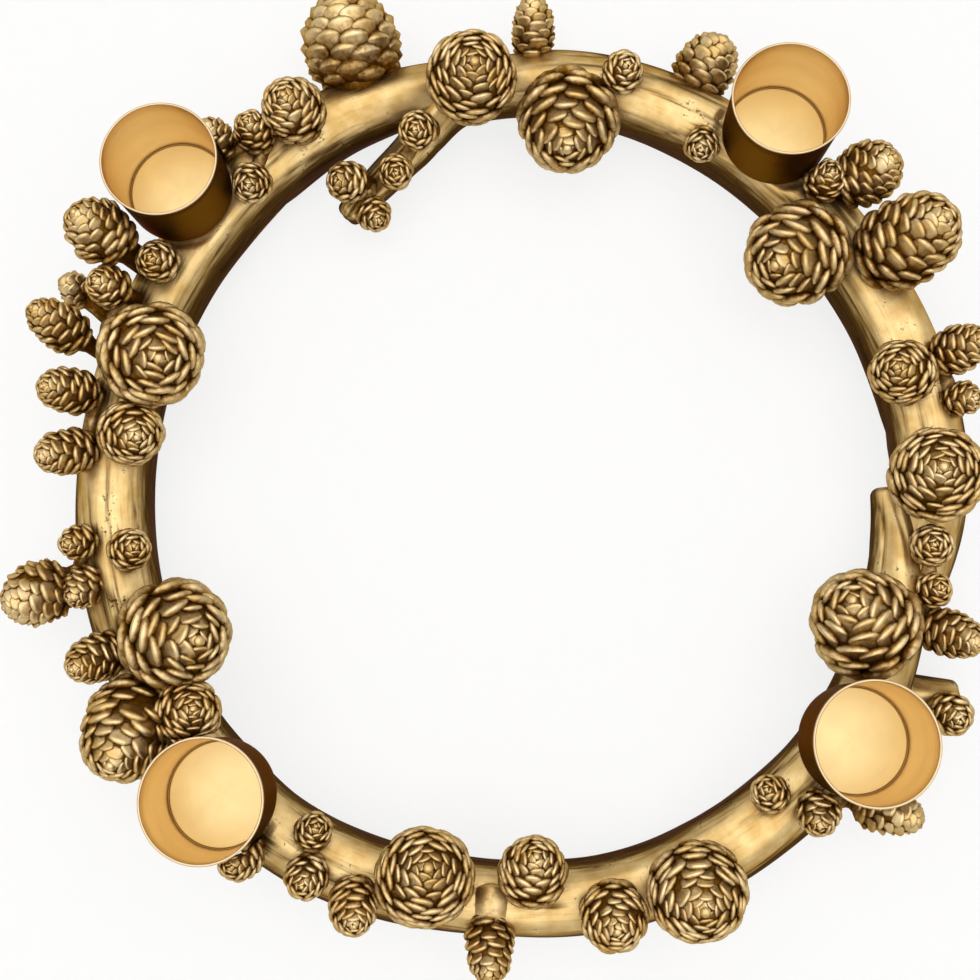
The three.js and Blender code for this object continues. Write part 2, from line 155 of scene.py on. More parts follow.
# Cone sizes in mm: diameter over the scales, length, neck radius, lip, then the count of scales,
# their width against the room each has, their height against their width, and the form of a scale
CONE_SIZES = {
    "great": (40, 36, 11, 3.2, 70, 1.75, 1.2, "keeled"),
    "broad": (40, 36, 11, 2.4, 90, 1.85, 0.9, "rhombic"),
    "large": (36, 33, 10, 2.2, 104, 1.75, 1.0, "keeled"),
    "long": (35, 40, 9, 2.4, 86, 1.6, 1.05, "full"),
    "medium": (25, 25, 5, 1.9, 74, 1.65, 1.1, "full"),
    "slim": (18, 25, 3.2, 1.5, 62, 1.6, 1.1, "full"),
    "small": (16, 16, 3.2, 1.5, 42, 1.6, 1.2, "full"),
    "tiny": (13.5, 14, 3, 1.3, 36, 1.6, 1.2, "full"),
}
CONE_WAIST = 0.38
CONE_FOOT = math.acos(0.65)
NECK_ROOT = 7 * MM
# Painted shade: cones darken towards the foot, below this share of their length, by this much
FOOT_SHADE = 0.6
FOOT_PAINTED_SHADE = 0.3
NECK_WASH = (0.6, 0.5)
CORE_WASH = (0.7, 0.85)
CORE_STEPS = 14
CORE_POINTS = 28
KNOB_SHARE = 0.055
SEED_STEP = 50
TWIG_RADIUS = 3.2 * MM
TWIG_RISE = 0.6 * MM
TWIG_STEPS = 12
TWIG_POINTS = 16
TWIG_LUMP = 0.08
TWIG_LUMP_SIZE = 4 * MM
TWIG_WASH = 0.55
# Sprigs whose cone hangs from a thick stem over the crown of the bark, and the side where the stem starts
STEMS = {21: 128}
STEM_RADIUS = 8 * MM
STEM_RISE = -5.6 * MM
STEM_SPANS = 3
STEM_WASH = 0.15

# Cones of each sprig: size, angle round the ring, side (0 out, 90 up, 180 in), lean, stem in mm
SPRIGS = (
    ("short", ("large", 91.5, 100, -3, 4)),
    ("short", ("slim", 82, 24, 0, -2.5)),
    ("short", ("great", 76.5, 147, -4, -3.5)),
    ("short", ("small", 70, 90, -9, 0)),
    ("short", ("medium", 60.5, 20, -9, -3)),
    ("short", ("tiny", 55.5, 129, -11, 1)),
    ("short", ("small", 38, 82, 0, 2), ("medium", 36.5, 52, -15, 4)),
    ("short", ("great", 32.5, 138, -2, 2)),
    ("short", ("long", 25.5, 65, -6, -2)),
    ("short", ("medium", 9, 115, 2, -2)),
    ("short", ("slim", 10, 63, -2, 1), ("tiny", 4.5, 57, -15, -1)),
    ("short", ("large", -6, 100, 0, -4)),
    ("short", ("small", -15, 98, -7, -2), ("tiny", -21, 80, 6, -1), ("slim", -25, 45, -6, 2)),
    ("stub", ("small", 327, 70, 8, 0.5)),
    ("long", ("great", 330, 123, 15, -1)),
    ("long", ("small", 307, 67, -30, 0), ("slim", 310, 12, 28, 5)),
    ("long", ("tiny", 303, 115, -5, 0)),
    ("long", ("large", 288, 77, -5, -3)),
    ("long", ("medium", 277, 76, 0, -3)),
    ("long", ("medium", 266.5, 120, 5, 2)),
    ("long", ("slim", 261.5, 42, 4, -4)),
    ("long", ("large", 252, 108, 5, -2)),
    ("long", ("slim", 243.5, 70, 15, 0)),
    ("long", ("small", 237.5, 73, 5, 0), ("tiny", 235.5, 116, 4, 0)),
    ("long", ("small", 230, 65, -2, 7)),
    ("long", ("long", 206.8, 66, 29, -4)),
    ("long", ("medium", 211, 112, 7, 2)),
    ("long", ("great", 197.5, 126, 22, 7)),
    ("long", ("slim", 198.5, 60, 10, -2)),
    ("long", ("small", 189, 48, 31, -4), ("medium", 187.5, 25, 16, 7), ("tiny", 183.5, 63, 10, 0)),
    ("long", ("small", 186, 117, 2, 0)),
    ("long", ("medium", 168, 118, 15, -3)),
    ("long", ("slim", 171, 60, 18, 0), ("slim", 163.5, 62, 10, 4)),
    ("long", ("great", 156, 118, 10, -3.5)),
    ("long", ("slim", 158, 54, -8, 13), ("tiny", 153, 12, -22, 13), ("small", 149.5, 68, 6, 9.5)),
    ("long", ("medium", 144.5, 57, 0, 16)),
    ("long", ("small", 143.5, 88, 8, 3)),
    ("long", ("small", 126, 112, 20, 0), ("small", 121.5, 74, 2, 1), ("small", 126, 47, -5, 2.5)),
    ("long", ("medium", 115.5, 85, 5, 1)),
    ("long", ("broad", 105.5, 20, -9, -1)),
    ("short", ("small", 99.5, 96, 20, 3), ("tiny", 106, 114, 13, 2)),
    ("short", ("tiny", 113, 141, 12, 2), ("small", 110.5, 83, 31, 9)),
)

# Section of one scale from its root over the face and lip and back under it, as shares of its width, and how
# much darkening lies there, partly antique wash and partly painted shade, deepest at the root and under the
# lip; each form starts with the two powers that shape its outline
SCALE_FORMS = {
    "keeled": (
        (2, 0.35),
        (-0.54, -0.14, 0.8),
        (-0.30, -0.02, 0.48),
        (-0.08, 0.08, 0.28),
        (0.06, 0.17, 0.12),
        (0.16, 0.24, 0.0),
        (0.25, 0.22, 0.0),
        (0.30, 0.08, 0.6),
        (0.18, -0.08, 0.95),
    ),
    "full": (
        (2, 0.35),
        (-0.54, -0.14, 0.6),
        (-0.32, -0.01, 0.28),
        (-0.12, 0.10, 0.08),
        (0.04, 0.19, 0.0),
        (0.15, 0.25, 0.0),
        (0.25, 0.21, 0.06),
        (0.30, 0.07, 0.65),
        (0.18, -0.08, 0.95),
    ),
    "rhombic": (
        (1.8, 0.55),
        (-0.56, -0.14, 0.8),
        (-0.38, 0.04, 0.5),
        (-0.14, 0.17, 0.28),
        (0.04, 0.27, 0.06),
        (0.12, 0.31, 0.0),
        (0.22, 0.23, 0.16),
        (0.36, 0.05, 0.7),
        (0.20, -0.08, 0.9),
    ),
}
SCALE_STATIONS = (-0.97, -0.8, -0.45, 0, 0.45, 0.8, 0.97)
GOLDEN_TURN = math.pi * (3 - math.sqrt(5))
SCALE_CROWDING = 1.6
# Painted shade with the wash: each scale darkens towards its sides, where it tucks in beside its neighbours
EDGE_WASH = 0.5

# Studio: the flat floor, the curve up to its wall, and how far it lies under the pads
FLOOR_RADIUS = 1.6
SWEEP_RADIUS = 1.0
WALL_HEIGHT = 2.2
FLOOR_DROP = 0.1 * MM


def linear(code):
    """Linear RGBA of an sRGB hex colour."""
    shares = [int(code[i:i + 2], 16) / 255 for i in (0, 2, 4)]
    return (*[c / 12.92 if c <= 0.04045 else ((c + 0.055) / 1.055) ** 2.4 for c in shares], 1.0)


def length(name, default, description):
    """Length property of a piece, in metres."""
    return FloatProperty(
        name=name, default=default, description=description, min=0, unit="LENGTH", precision=4
    )


def colour(name, code, description):
    """Colour property of a finish, from an sRGB hex value."""
    return FloatVectorProperty(
        name=name, default=linear(code), description=description, subtype="COLOR", size=4, min=0, max=1
    )


class BranchSettings(PropertyGroup):
    """Bark relief and colours of the two branches."""

    ridge: length("Bark Ridge", 0.5 * MM, "Height of the broad ridges along the bark")
    lump: length("Bark Lump", 0.45 * MM, "Height of the soft unevenness of the bark")
    crease: length("Crease", 0.65 * MM, "Depth of the fine creases along the bark")
    mesh_step: length("Mesh Step", 1.5 * MM, "Spacing of the rings of points along a branch")
    gold: colour("Gold", "dabf88", "Rubbed gold on the crown of the bark")
    deep_gold: colour("Deep Gold", "c09e62", "Duller gold where less was rubbed on")
    # The wash colour paints shade on the lower flanks and round the cones' feet as well as the wash in the
    # creases; the ground colour is the deepest of both
    wash_and_shade: colour("Wash", "5c4118", "Brown wash left in creases and on the flanks")
    ground_and_shade: colour("Ground", "35220d", "Dark ground coat under the wash")


class ConeSettings(PropertyGroup):
    """Growth and colours of the pine cones."""

    seed: IntProperty(name="Seed", default=11, description="Seed of the small differences between scales")
    unevenness: FloatProperty(
        name="Unevenness", default=0.18, description="Spread of the scales' sizes",
        subtype="FACTOR", min=0, max=1
    )
    gold: colour("Gold", "dac293", "Rubbed gold on the lips of the scales")
    deep_gold: colour("Deep Gold", "c2a166", "Duller gold on the faces of the scales")
    # The wash and ground colours paint shade under the scales' lips and towards the cones' feet as well as
    # the wash between the scales
    wash_and_shade: colour("Wash", "6e470a", "Brown wash left between the scales")
    ground_and_shade: colour("Ground", "3e2405", "Dark ground coat deep between the scales")


class CupSettings(PropertyGroup):
    """Sizes and colours of the candle cups."""

    rim_diameter: length("Rim Diameter", 44 * MM, "Outer diameter at the rim")
    base_diameter: length("Base Diameter", 41.5 * MM, "Outer diameter at the base")
    wall: length("Wall", 0.8 * MM, "Thickness of the sheet")
    corner: length("Corner", 2.5 * MM, "Outer radius between base and wall")
    inside: colour("Inside", "f7e4c2", "Satin gold inside the cup")
    floor: colour("Floor", "ddc48e", "Paler gold on the stamped floor")
    # Painted shade: the outside is a darker copy of the cup's gold, standing in for the shade on its outer
    # wall
    outside: colour("Outside", "80622c", "Darker gold lacquer outside the cup")


class FastenerSettings(PropertyGroup):
    """Sizes and colours of the studs, nuts and felt pads under the wreath."""

    stud_diameter: length("Stud Diameter", 5 * MM, "Diameter over the thread of the studs")
    thread_pitch: length("Thread Pitch", 0.8 * MM, "Pitch of the thread")
    steel: colour("Steel", "b9b8b0", "Bright zinc plate of the studs and nuts")
    felt: colour("Felt", "4a3a2a", "Brown wool of the pads")


class StageSettings(PropertyGroup):
    """Camera, lamp and floor of the studio."""

    camera_place: FloatVectorProperty(
        name="Camera", default=(-5.5 * MM, -82.9 * MM, 527.3 * MM),
        description="Place from the ring's middle", subtype="TRANSLATION", unit="LENGTH"
    )
    camera_turn: FloatVectorProperty(
        name="Camera Turn", default=(0.1532, 0.0234, -0.095),
        description="Pitch, roll and yaw from straight down", subtype="EULER"
    )
    lens: FloatProperty(
        name="Lens", default=48.76, description="Focal length in mm on a 36 mm frame", unit="CAMERA"
    )
    lamp_size: length("Lamp Size", 3.0, "Side of the overhead softbox")
    lamp_height: length("Lamp Height", 1.7, "Height of the softbox over the floor")
    lamp_power: FloatProperty(
        name="Lamp Power", default=34.5, description="Power of the softbox", unit="POWER"
    )
    sky: FloatProperty(name="Sky", default=0.45, description="Brightness of the light all round", min=0)
    floor: colour("Floor", "f6f5f2", "Matt white paint of the floor and backdrop")
    glow: FloatProperty(
        name="Glow", default=0.8, description="Share of the floor's white that no shadow dims",
        subtype="FACTOR", min=0, max=1
    )


def polar(angle, radius, height=0.0):
    """Point at an angle in degrees and a radius round the vertical axis."""
    turn = math.radians(angle)
    return Vector((radius * math.cos(turn), radius * math.sin(turn), height))


def box_centre(node):
    """Middle of a node's box."""
    low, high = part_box(node)
    return (low + high) / 2


def axis_of(node):
    """Foot of the upright axis through the middle of a node's box."""
    centre = box_centre(node)
    return Vector((centre.x, centre.y, 0))


def ring_centre():
    """Middle of the ring, found from where the first cup stands in the frame."""
    name, (_, angle, offset) = next(iter(CUPS.items()))
    centre = box_centre(f"candle_cup_{name}") - polar(angle, RING_RADIUS + offset * MM)
    return Vector((centre.x, centre.y, 0))


CENTRE = ring_centre()
CUP_PLACES = {name: box_centre(f"candle_cup_{name}") for name in CUPS}
CUP_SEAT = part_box("cup_stud_top_left")[1].z
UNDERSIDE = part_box("branch_long")[0].z
NUT_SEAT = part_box("flange_nut_top_left")[1].z


def route_at(route, angle):
    """Offset and thickness share at an angle, on the smooth curve through a route's points."""
    angles = [point[0] for point in route]
    angle = min(max(angle, angles[0]), angles[-1])
    i = min(max(bisect_right(angles, angle), 1), len(angles) - 1)
    first, last = route[i - 1], route[i]
    before = route[i - 2] if i > 1 else last
    after = route[i + 1] if i + 1 < len(route) else first
    span = last[0] - first[0]
    p = (angle - first[0]) / span
    pull_before = 0.5 * span / (first[0] - before[0])
    pull_after = 0.5 * span / (after[0] - last[0])
    weights = (
        -pull_before * p**3 + 2 * pull_before * p**2 - pull_before * p,
        (1 + pull_before) * p**3 - (1.5 + 2 * pull_before) * p**2 + (pull_before - 0.5) * p + 1,
        -(1 + pull_after) * p**3 + (1.5 + pull_after) * p**2 + 0.5 * p,
        pull_after * p**3 - pull_after * p**2,
    )
    points = (before, first, last, after)
    return [sum(w * point[k] for w, point in zip(weights, points)) for k in (1, 2)]


def branch_centre(route, angle):
    """Centre and radius of a branch at an angle."""
    offset, share = route_at(route, angle)
    radius = BRANCH_RADIUS * share
    return CENTRE + polar(angle, RING_RADIUS + offset * MM, UNDERSIDE + UNDERSIDE_SHARE * radius), radius


def branch_frame(route, angle):
    """Centre, radius, direction and outward side of a branch at an angle."""
    centre, radius = branch_centre(route, angle)
    ahead, behind = min(angle + HALF_DEGREE, route[-1][0]), max(angle - HALF_DEGREE, route[0][0])
    along = branch_centre(route, ahead)[0] - branch_centre(route, behind)[0]
    along.z = 0
    along.normalize()
    return centre, radius, along, along.cross(UP)


def cone_seat(branch, cone):
    """Seat of a cone: the place on the bark, the way out of the bark there and the cone's axis."""
    _, angle, side, lean, _ = cone
    centre, radius, along, outward = branch_frame(ROUTES[branch], angle)
    turn, tilt = math.radians(side), math.radians(lean)
    normal = outward * math.cos(turn) + UP * math.sin(turn)
    axis = normal * math.cos(tilt) + along * math.sin(tilt)
    return centre + normal * radius, normal, axis


def smooth_step(low, high, value):
    """Smooth rise from 0 at low to 1 at high."""
    t = min(max((value - low) / (high - low), 0), 1)
    return t * t * (3 - 2 * t)


class Skin:
    """Points and faces of one piece, with the darkening (antique wash and painted shade) and the grain that
    its finish reads at each point.
    """

    def __init__(self):
        self.points = []
        self.faces = []
        self.wash_and_shade = []
        self.grain = []
        self.finish = []

    def add_rings(self, rings, wash_and_shade, grain=None, caps=True, finish=0):
        """Joins closed rings of equal point counts with quads, and closes each end with a fan."""
        base = len(self.points)
        count = len(rings[0])
        for i, ring in enumerate(rings):
            self.points.extend(ring)
            self.wash_and_shade.extend(wash_and_shade[i])
            self.grain.extend(grain[i] if grain else ring)
        for i in range(len(rings) - 1):
            row = base + i * count
            for k in range(count):
                after = (k + 1) % count
                self.faces.append((row + k, row + after, row + count + after, row + count + k))
                self.finish.append(finish[i] if isinstance(finish, list) else finish)
        if caps:
            for i in (0, len(rings) - 1):
                row = base + i * count
                hub = len(self.points)
                self.points.append(sum(rings[i], Vector()) / count)
                self.wash_and_shade.append(sum(wash_and_shade[i]) / count)
                self.grain.append(sum(grain[i], Vector()) / count if grain else self.points[-1])
                for k in range(count):
                    self.faces.append((row + k, row + (k + 1) % count, hub))
                    self.finish.append(finish[max(i - 1, 0)] if isinstance(finish, list) else finish)

    def add_mesh(self, mesh, place, shaded):
        """Adds a finished mesh, moved to its place, with painted shade deepening below its shaded height."""
        base = len(self.points)
        darkening = mesh.attributes["wash_and_shade"].data
        for vertex in mesh.vertices:
            self.points.append(place @ vertex.co)
            darker = FOOT_PAINTED_SHADE * smooth_step(shaded, 0.1 * shaded, vertex.co.z)
            self.wash_and_shade.append(darkening[vertex.index].value + darker)
            self.grain.append(vertex.co.copy())
        for face in mesh.polygons:
            self.faces.append([base + i for i in face.vertices])
            self.finish.append(0)

    def to_mesh(self, name, materials):
        """Smooth mesh with outward faces, carrying the attributes of wash and painted shade, and of grain."""
        mesh = bpy.data.meshes.new(name)
        mesh.from_pydata(self.points, [], self.faces)
        for material in materials:
            mesh.materials.append(material)
        mesh.polygons.foreach_set("material_index", self.finish)
        wash_and_shade = mesh.attributes.new("wash_and_shade", "FLOAT", "POINT")
        wash_and_shade.data.foreach_set("value", self.wash_and_shade)
        grain = mesh.attributes.new("grain", "FLOAT_VECTOR", "POINT")
        grain.data.foreach_set("vector", [c for point in self.grain for c in point])
        work = bmesh.new()
        work.from_mesh(mesh)
        bmesh.ops.recalc_face_normals(work, faces=work.faces)
        work.to_mesh(mesh)
        work.free()
        mesh.shade_smooth()
        return mesh


def ringed(rings, wash_and_shade, grain=None, caps=True, finish=0):
    """Skin of a single run of rings."""
    skin = Skin()
    skin.add_rings(rings, wash_and_shade, grain, caps, finish)
    return skin


def evenly(rings, wash_and_shade):
    """The same darkening, of wash and painted shade, at each point of the rings."""
    return [[wash_and_shade] * len(ring) for ring in rings]


def add_piece(name, mesh, slot, *nodes):
    """Puts a piece in the scene, in place of the solids that it stands for."""
    piece = bpy.data.objects.new(name, mesh)
    bpy.context.scene.collection.objects.link(piece)
    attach(piece, BODY)
    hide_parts(*nodes)
    return piece


def add_node(tree, kind, inputs=None, **settings):
    """Adds a node, sets its options and fills its inputs with values, sockets or nodes' first outputs."""
    node = tree.nodes.new(kind)
    for key, value in settings.items():
        setattr(node, key, value)
    for key, value in (inputs or {}).items():
        if isinstance(value, bpy.types.Node):
            value = value.outputs[0]
        if isinstance(value, bpy.types.NodeSocket):
            tree.links.new(value, node.inputs[key])
        else:
            node.inputs[key].default_value = value
    return node


def new_material(name):
    """Empty material, its node tree and its surface socket."""
    material = bpy.data.materials.new(name)
    material.use_nodes = True
    tree = material.node_tree
    tree.nodes.clear()
    return material, tree, add_node(tree, "ShaderNodeOutputMaterial").inputs["Surface"]


def bark_pits(tree, pattern, clouds):
    """Depth of the small pits that lie in patches on the bark."""
    pit = 1.3 * MM
    spots = add_node(tree, "ShaderNodeTexNoise", {"Vector": pattern, "Scale": 1 / pit, "Detail": 1.0})
    speck = add_node(tree, "ShaderNodeMapRange", {0: spots, 1: 0.63, 2: 0.7, 3: 0.0, 4: 1.0})
    patch = add_node(tree, "ShaderNodeMapRange", {0: clouds, 1: 0.44, 2: 0.38, 3: 0.0, 4: 1.0})
    return add_node(tree, "ShaderNodeMath", {0: speck, 1: patch}, operation="MULTIPLY")


def antique_gold(name, settings, follows_bark):
    """Painted cast resin, gold rubbed over a brown wash: bright satin crowns, dull brown in every hollow,
    with shade painted in the same browns on the flanks, under the scales' lips and round the cones' feet.
    """
    material, tree, surface = new_material(name)
    streak_width, streak_length, mottle, grit = 1.1 * MM, 15 * MM, 9 * MM, 0.55 * MM
    darkening = add_node(tree, "ShaderNodeAttribute", attribute_name="wash_and_shade").outputs["Fac"]
    if follows_bark:
        pattern = add_node(tree, "ShaderNodeAttribute", attribute_name="grain").outputs["Vector"]
    else:
        pattern = add_node(tree, "ShaderNodeTexCoord").outputs["Object"]
        streak_width = streak_length = 2.2 * MM
    polish = 0.4 if follows_bark else 0.3
    stretch = (1 / streak_width, 1 / streak_width, 1 / streak_length)
    streak_place = add_node(tree, "ShaderNodeMapping", {"Vector": pattern, "Scale": stretch})
    streaks = add_node(tree, "ShaderNodeTexNoise", {"Vector": streak_place, "Scale": 1.0, "Detail": 5.0})
    clouds = add_node(tree, "ShaderNodeTexNoise", {"Vector": pattern, "Scale": 1 / mottle, "Detail": 3.0})
    grains = add_node(tree, "ShaderNodeTexNoise", {"Vector": pattern, "Scale": 1 / grit, "Detail": 2.0})
    uneven = add_node(tree, "ShaderNodeMapRange", {0: streaks, 1: 0.3, 2: 0.7, 3: -0.2, 4: 0.26})
    amount = add_node(tree, "ShaderNodeMath", {0: darkening, 1: uneven}, operation="ADD")
    relief = add_node(tree, "ShaderNodeMath", {0: streaks, 1: 0.6, 2: grains}, operation="MULTIPLY_ADD")
    if follows_bark:
        pits = bark_pits(tree, pattern, clouds)
        amount = add_node(tree, "ShaderNodeMath", {0: pits, 1: 0.4, 2: amount}, operation="MULTIPLY_ADD")
        relief = add_node(tree, "ShaderNodeMath", {0: pits, 1: -2.5, 2: relief}, operation="MULTIPLY_ADD")
    # The darkening covers the gold with wash and painted shade; where it is deepest, the ground coat and the
    # darkest painted shade show
    cover = add_node(
        tree, "ShaderNodeMapRange", {0: amount, 1: 0.05, 2: 0.85, 3: 0.0, 4: 1.0},
        interpolation_type="SMOOTHSTEP",
    )
    deep = add_node(tree, "ShaderNodeMapRange", {0: amount, 1: 0.75, 2: 1.35, 3: 0.0, 4: 1.0})
    patchy = add_node(tree, "ShaderNodeMapRange", {0: clouds, 1: 0.35, 2: 0.65, 3: 0.0, 4: 1.0})
    gold = add_node(
        tree, "ShaderNodeMix", {0: patchy, 6: settings.gold, 7: settings.deep_gold}, data_type="RGBA"
    ).outputs[2]
    washed = add_node(
        tree, "ShaderNodeMix", {0: cover, 6: gold, 7: settings.wash_and_shade}, data_type="RGBA"
    ).outputs[2]
    paint = add_node(
        tree, "ShaderNodeMix", {0: deep, 6: washed, 7: settings.ground_and_shade}, data_type="RGBA"
    ).outputs[2]
    metal = add_node(tree, "ShaderNodeMapRange", {0: cover, 1: 0.0, 2: 1.0, 3: 1.0, 4: 0.8})
    dull = add_node(tree, "ShaderNodeMapRange", {0: amount, 1: -0.2, 2: 1.0, 3: polish, 4: 0.62})
    bump = add_node(tree, "ShaderNodeBump", {"Height": relief, "Strength": 0.5, "Distance": 0.12 * MM})
    shader = add_node(
        tree,
        "ShaderNodeBsdfPrincipled",
        {
            "Base Color": paint,
            "Metallic": metal,
            "Roughness": dull,
            "Specular Tint": settings.deep_gold,
            "Normal": bump,
        },
    )
    tree.links.new(shader.outputs[0], surface)
    return material


def plated_gold(name, tone, roughness, line, spun):
    """Gold-lacquered steel sheet, spun and satin: soft reflections drawn into fine rings round the cup."""
    material, tree, surface = new_material(name)
    # The marks of spinning are finer than 0.1 mm on the real sheet: they are drawn coarser, so that they show
    drawn, smear = 50 / 3 * MM, 11 * MM
    pattern = add_node(tree, "ShaderNodeAttribute", attribute_name="grain").outputs["Vector"]
    stretch = (1 / drawn, 1 / drawn, 1 / line)
    rings_place = add_node(tree, "ShaderNodeMapping", {"Vector": pattern, "Scale": stretch})
    rings = add_node(tree, "ShaderNodeTexNoise", {"Vector": rings_place, "Scale": 1.0, "Detail": 3.0})
    smears = add_node(tree, "ShaderNodeTexNoise", {"Vector": pattern, "Scale": 1 / smear, "Detail": 3.0})
    # The darkening darkens the rolled rim and paints a shadow in the groove round the floor; the smears
    # darken it in soft patches
    darkening = add_node(tree, "ShaderNodeAttribute", attribute_name="wash_and_shade").outputs["Fac"]
    shade = add_node(tree, "ShaderNodeMapRange", {0: smears, 1: 0.3, 2: 0.75, 3: 0.0, 4: 0.18})
    amount = add_node(tree, "ShaderNodeMath", {0: darkening, 1: shade}, operation="ADD")
    darker = [c * share for c, share in zip(tone, (0.42, 0.3, 0.16, 1.0))]
    paint = add_node(tree, "ShaderNodeMix", {0: amount, 6: tone, 7: darker}, data_type="RGBA").outputs[2]
    smoothest, roughest = roughness - 0.05 * spun, roughness + 0.08 * spun
    spread = add_node(tree, "ShaderNodeMapRange", {0: rings, 1: 0.3, 2: 0.7, 3: smoothest, 4: roughest})
    bump = add_node(tree, "ShaderNodeBump", {"Height": rings, "Strength": 0.12 * spun, "Distance": 0.05 * MM})
    shader = add_node(
        tree,
        "ShaderNodeBsdfPrincipled",
        {"Base Color": paint, "Metallic": 1.0, "Roughness": spread, "Specular Tint": tone, "Normal": bump},
    )
    tree.links.new(shader.outputs[0], surface)
    return material


def zinc_steel(settings):
    """Bright zinc-plated steel, rolled and barrelled: cool grey with cloudy roughness."""
    material, tree, surface = new_material("zinc_plated_steel")
    cloud = 1.5 * MM
    place = add_node(tree, "ShaderNodeTexCoord").outputs["Object"]
    clouds = add_node(tree, "ShaderNodeTexNoise", {"Vector": place, "Scale": 1 / cloud, "Detail": 4.0})
    spread = add_node(tree, "ShaderNodeMapRange", {0: clouds, 1: 0.3, 2: 0.7, 3: 0.28, 4: 0.5})
    darker = [c * 0.6 for c in settings.steel[:3]] + [1.0]
    paint = add_node(
        tree, "ShaderNodeMix", {0: clouds, 6: settings.steel, 7: darker}, data_type="RGBA"
    ).outputs[2]
    shader = add_node(
        tree, "ShaderNodeBsdfPrincipled", {"Base Color": paint, "Metallic": 1.0, "Roughness": spread}
    )
    tree.links.new(shader.outputs[0], surface)
    return material


def wool_felt(settings):
    """Pressed wool felt: matt, with short tangled fibres that break up the edge."""
    material, tree, surface = new_material("pressed_wool_felt")
    # A wool fibre is about 0.03 mm thick: tufts of many fibres are drawn, so that they show
    tuft = 0.4 * MM
    place = add_node(tree, "ShaderNodeTexCoord").outputs["Object"]
    fibres = add_node(
        tree, "ShaderNodeTexNoise", {"Vector": place, "Scale": 1 / tuft, "Detail": 5.0, "Distortion": 2.0}
    )
    lighter = [min(c * 1.8, 1) for c in settings.felt[:3]] + [1.0]
    paint = add_node(
        tree, "ShaderNodeMix", {0: fibres, 6: settings.felt, 7: lighter}, data_type="RGBA"
    ).outputs[2]
    bump = add_node(tree, "ShaderNodeBump", {"Height": fibres, "Strength": 0.8, "Distance": 0.3 * MM})
    shader = add_node(
        tree,
        "ShaderNodeBsdfPrincipled",
        {"Base Color": paint, "Roughness": 0.95, "Sheen Weight": 0.4, "Normal": bump},
    )
    tree.links.new(shader.outputs[0], surface)
    return material


def studio_paint(settings):
    """Matt white wall paint, rolled on: an even pale ground that takes a soft shadow."""
    material, tree, surface = new_material("matt_white_paint")
    nap = 3 * MM
    place = add_node(tree, "ShaderNodeTexCoord").outputs["Object"]
    rolled = add_node(tree, "ShaderNodeTexNoise", {"Vector": place, "Scale": 1 / nap, "Detail": 3.0})
    bump = add_node(tree, "ShaderNodeBump", {"Height": rolled, "Strength": 0.05, "Distance": 0.1 * MM})
    shader = add_node(
        tree,
        "ShaderNodeBsdfPrincipled",
        {"Base Color": settings.floor, "Roughness": 0.9, "Specular IOR Level": 0.1, "Normal": bump},
    )
    rays = add_node(tree, "ShaderNodeLightPath").outputs
    seen = rays["Is Camera Ray"]
    for ray in ("Is Glossy Ray", "Is Transmission Ray"):
        seen = add_node(tree, "ShaderNodeMath", {0: seen, 1: rays[ray]}, operation="ADD")
    share = add_node(
        tree, "ShaderNodeMath", {0: seen, 1: settings.glow}, operation="MULTIPLY", use_clamp=True
    )
    white = add_node(tree, "ShaderNodeEmission", {"Color": (1, 1, 1, 1), "Strength": 1.0})
    mixed = add_node(tree, "ShaderNodeMixShader", {0: share, 1: shader, 2: white})
    tree.links.new(mixed.outputs[0], surface)
    return material


def stretched(grain, run, spacing):
    """Place in a noise whose forms have this spacing across and along the bark."""
    across, along = spacing
    return Vector((grain.x / across, grain.y / across, run / along))


def bark_point(settings, section, side, run, trim):
    """Point of the bark, its wash with the painted shade of its lower flanks, and its grain, at a turn round
    a section and a run along the branch.
    """
    centre, radius, angle, outward = section
    grain = Vector((radius * math.cos(side), radius * math.sin(side), run))
    lump_place = stretched(grain, run, LUMP_SPACING)
    crease_place = stretched(grain, run, CREASE_SPACING)
    fade_place = stretched(grain, run + FADE_SHIFT, FADE_SPACING)
    wander = BARK_TWIST * math.sin(math.radians(BARK_WAVES * angle))
    crease = max(0, 1 - CREASE_SHARPNESS * abs(noise.noise(crease_place)))
    crease *= smooth_step(*FADE_LEVELS, noise.noise(fade_place))
    reach = radius + settings.ridge * math.cos(BARK_RIDGES * side + wander) - trim
    reach += settings.lump * noise.noise(lump_place) - settings.crease * crease
    height = max(reach * math.sin(side), -UNDERSIDE_SHARE * radius)
    point = centre + outward * (reach * math.cos(side)) + UP * height
    # Painted shade with the dark ground coat: the flanks darken as they turn down
    flank = FLANK_WASH_AND_SHADE * smooth_step(*FLANK_LEVELS, math.sin(side))
    return point, max(crease * CREASE_WASH, flank), grain


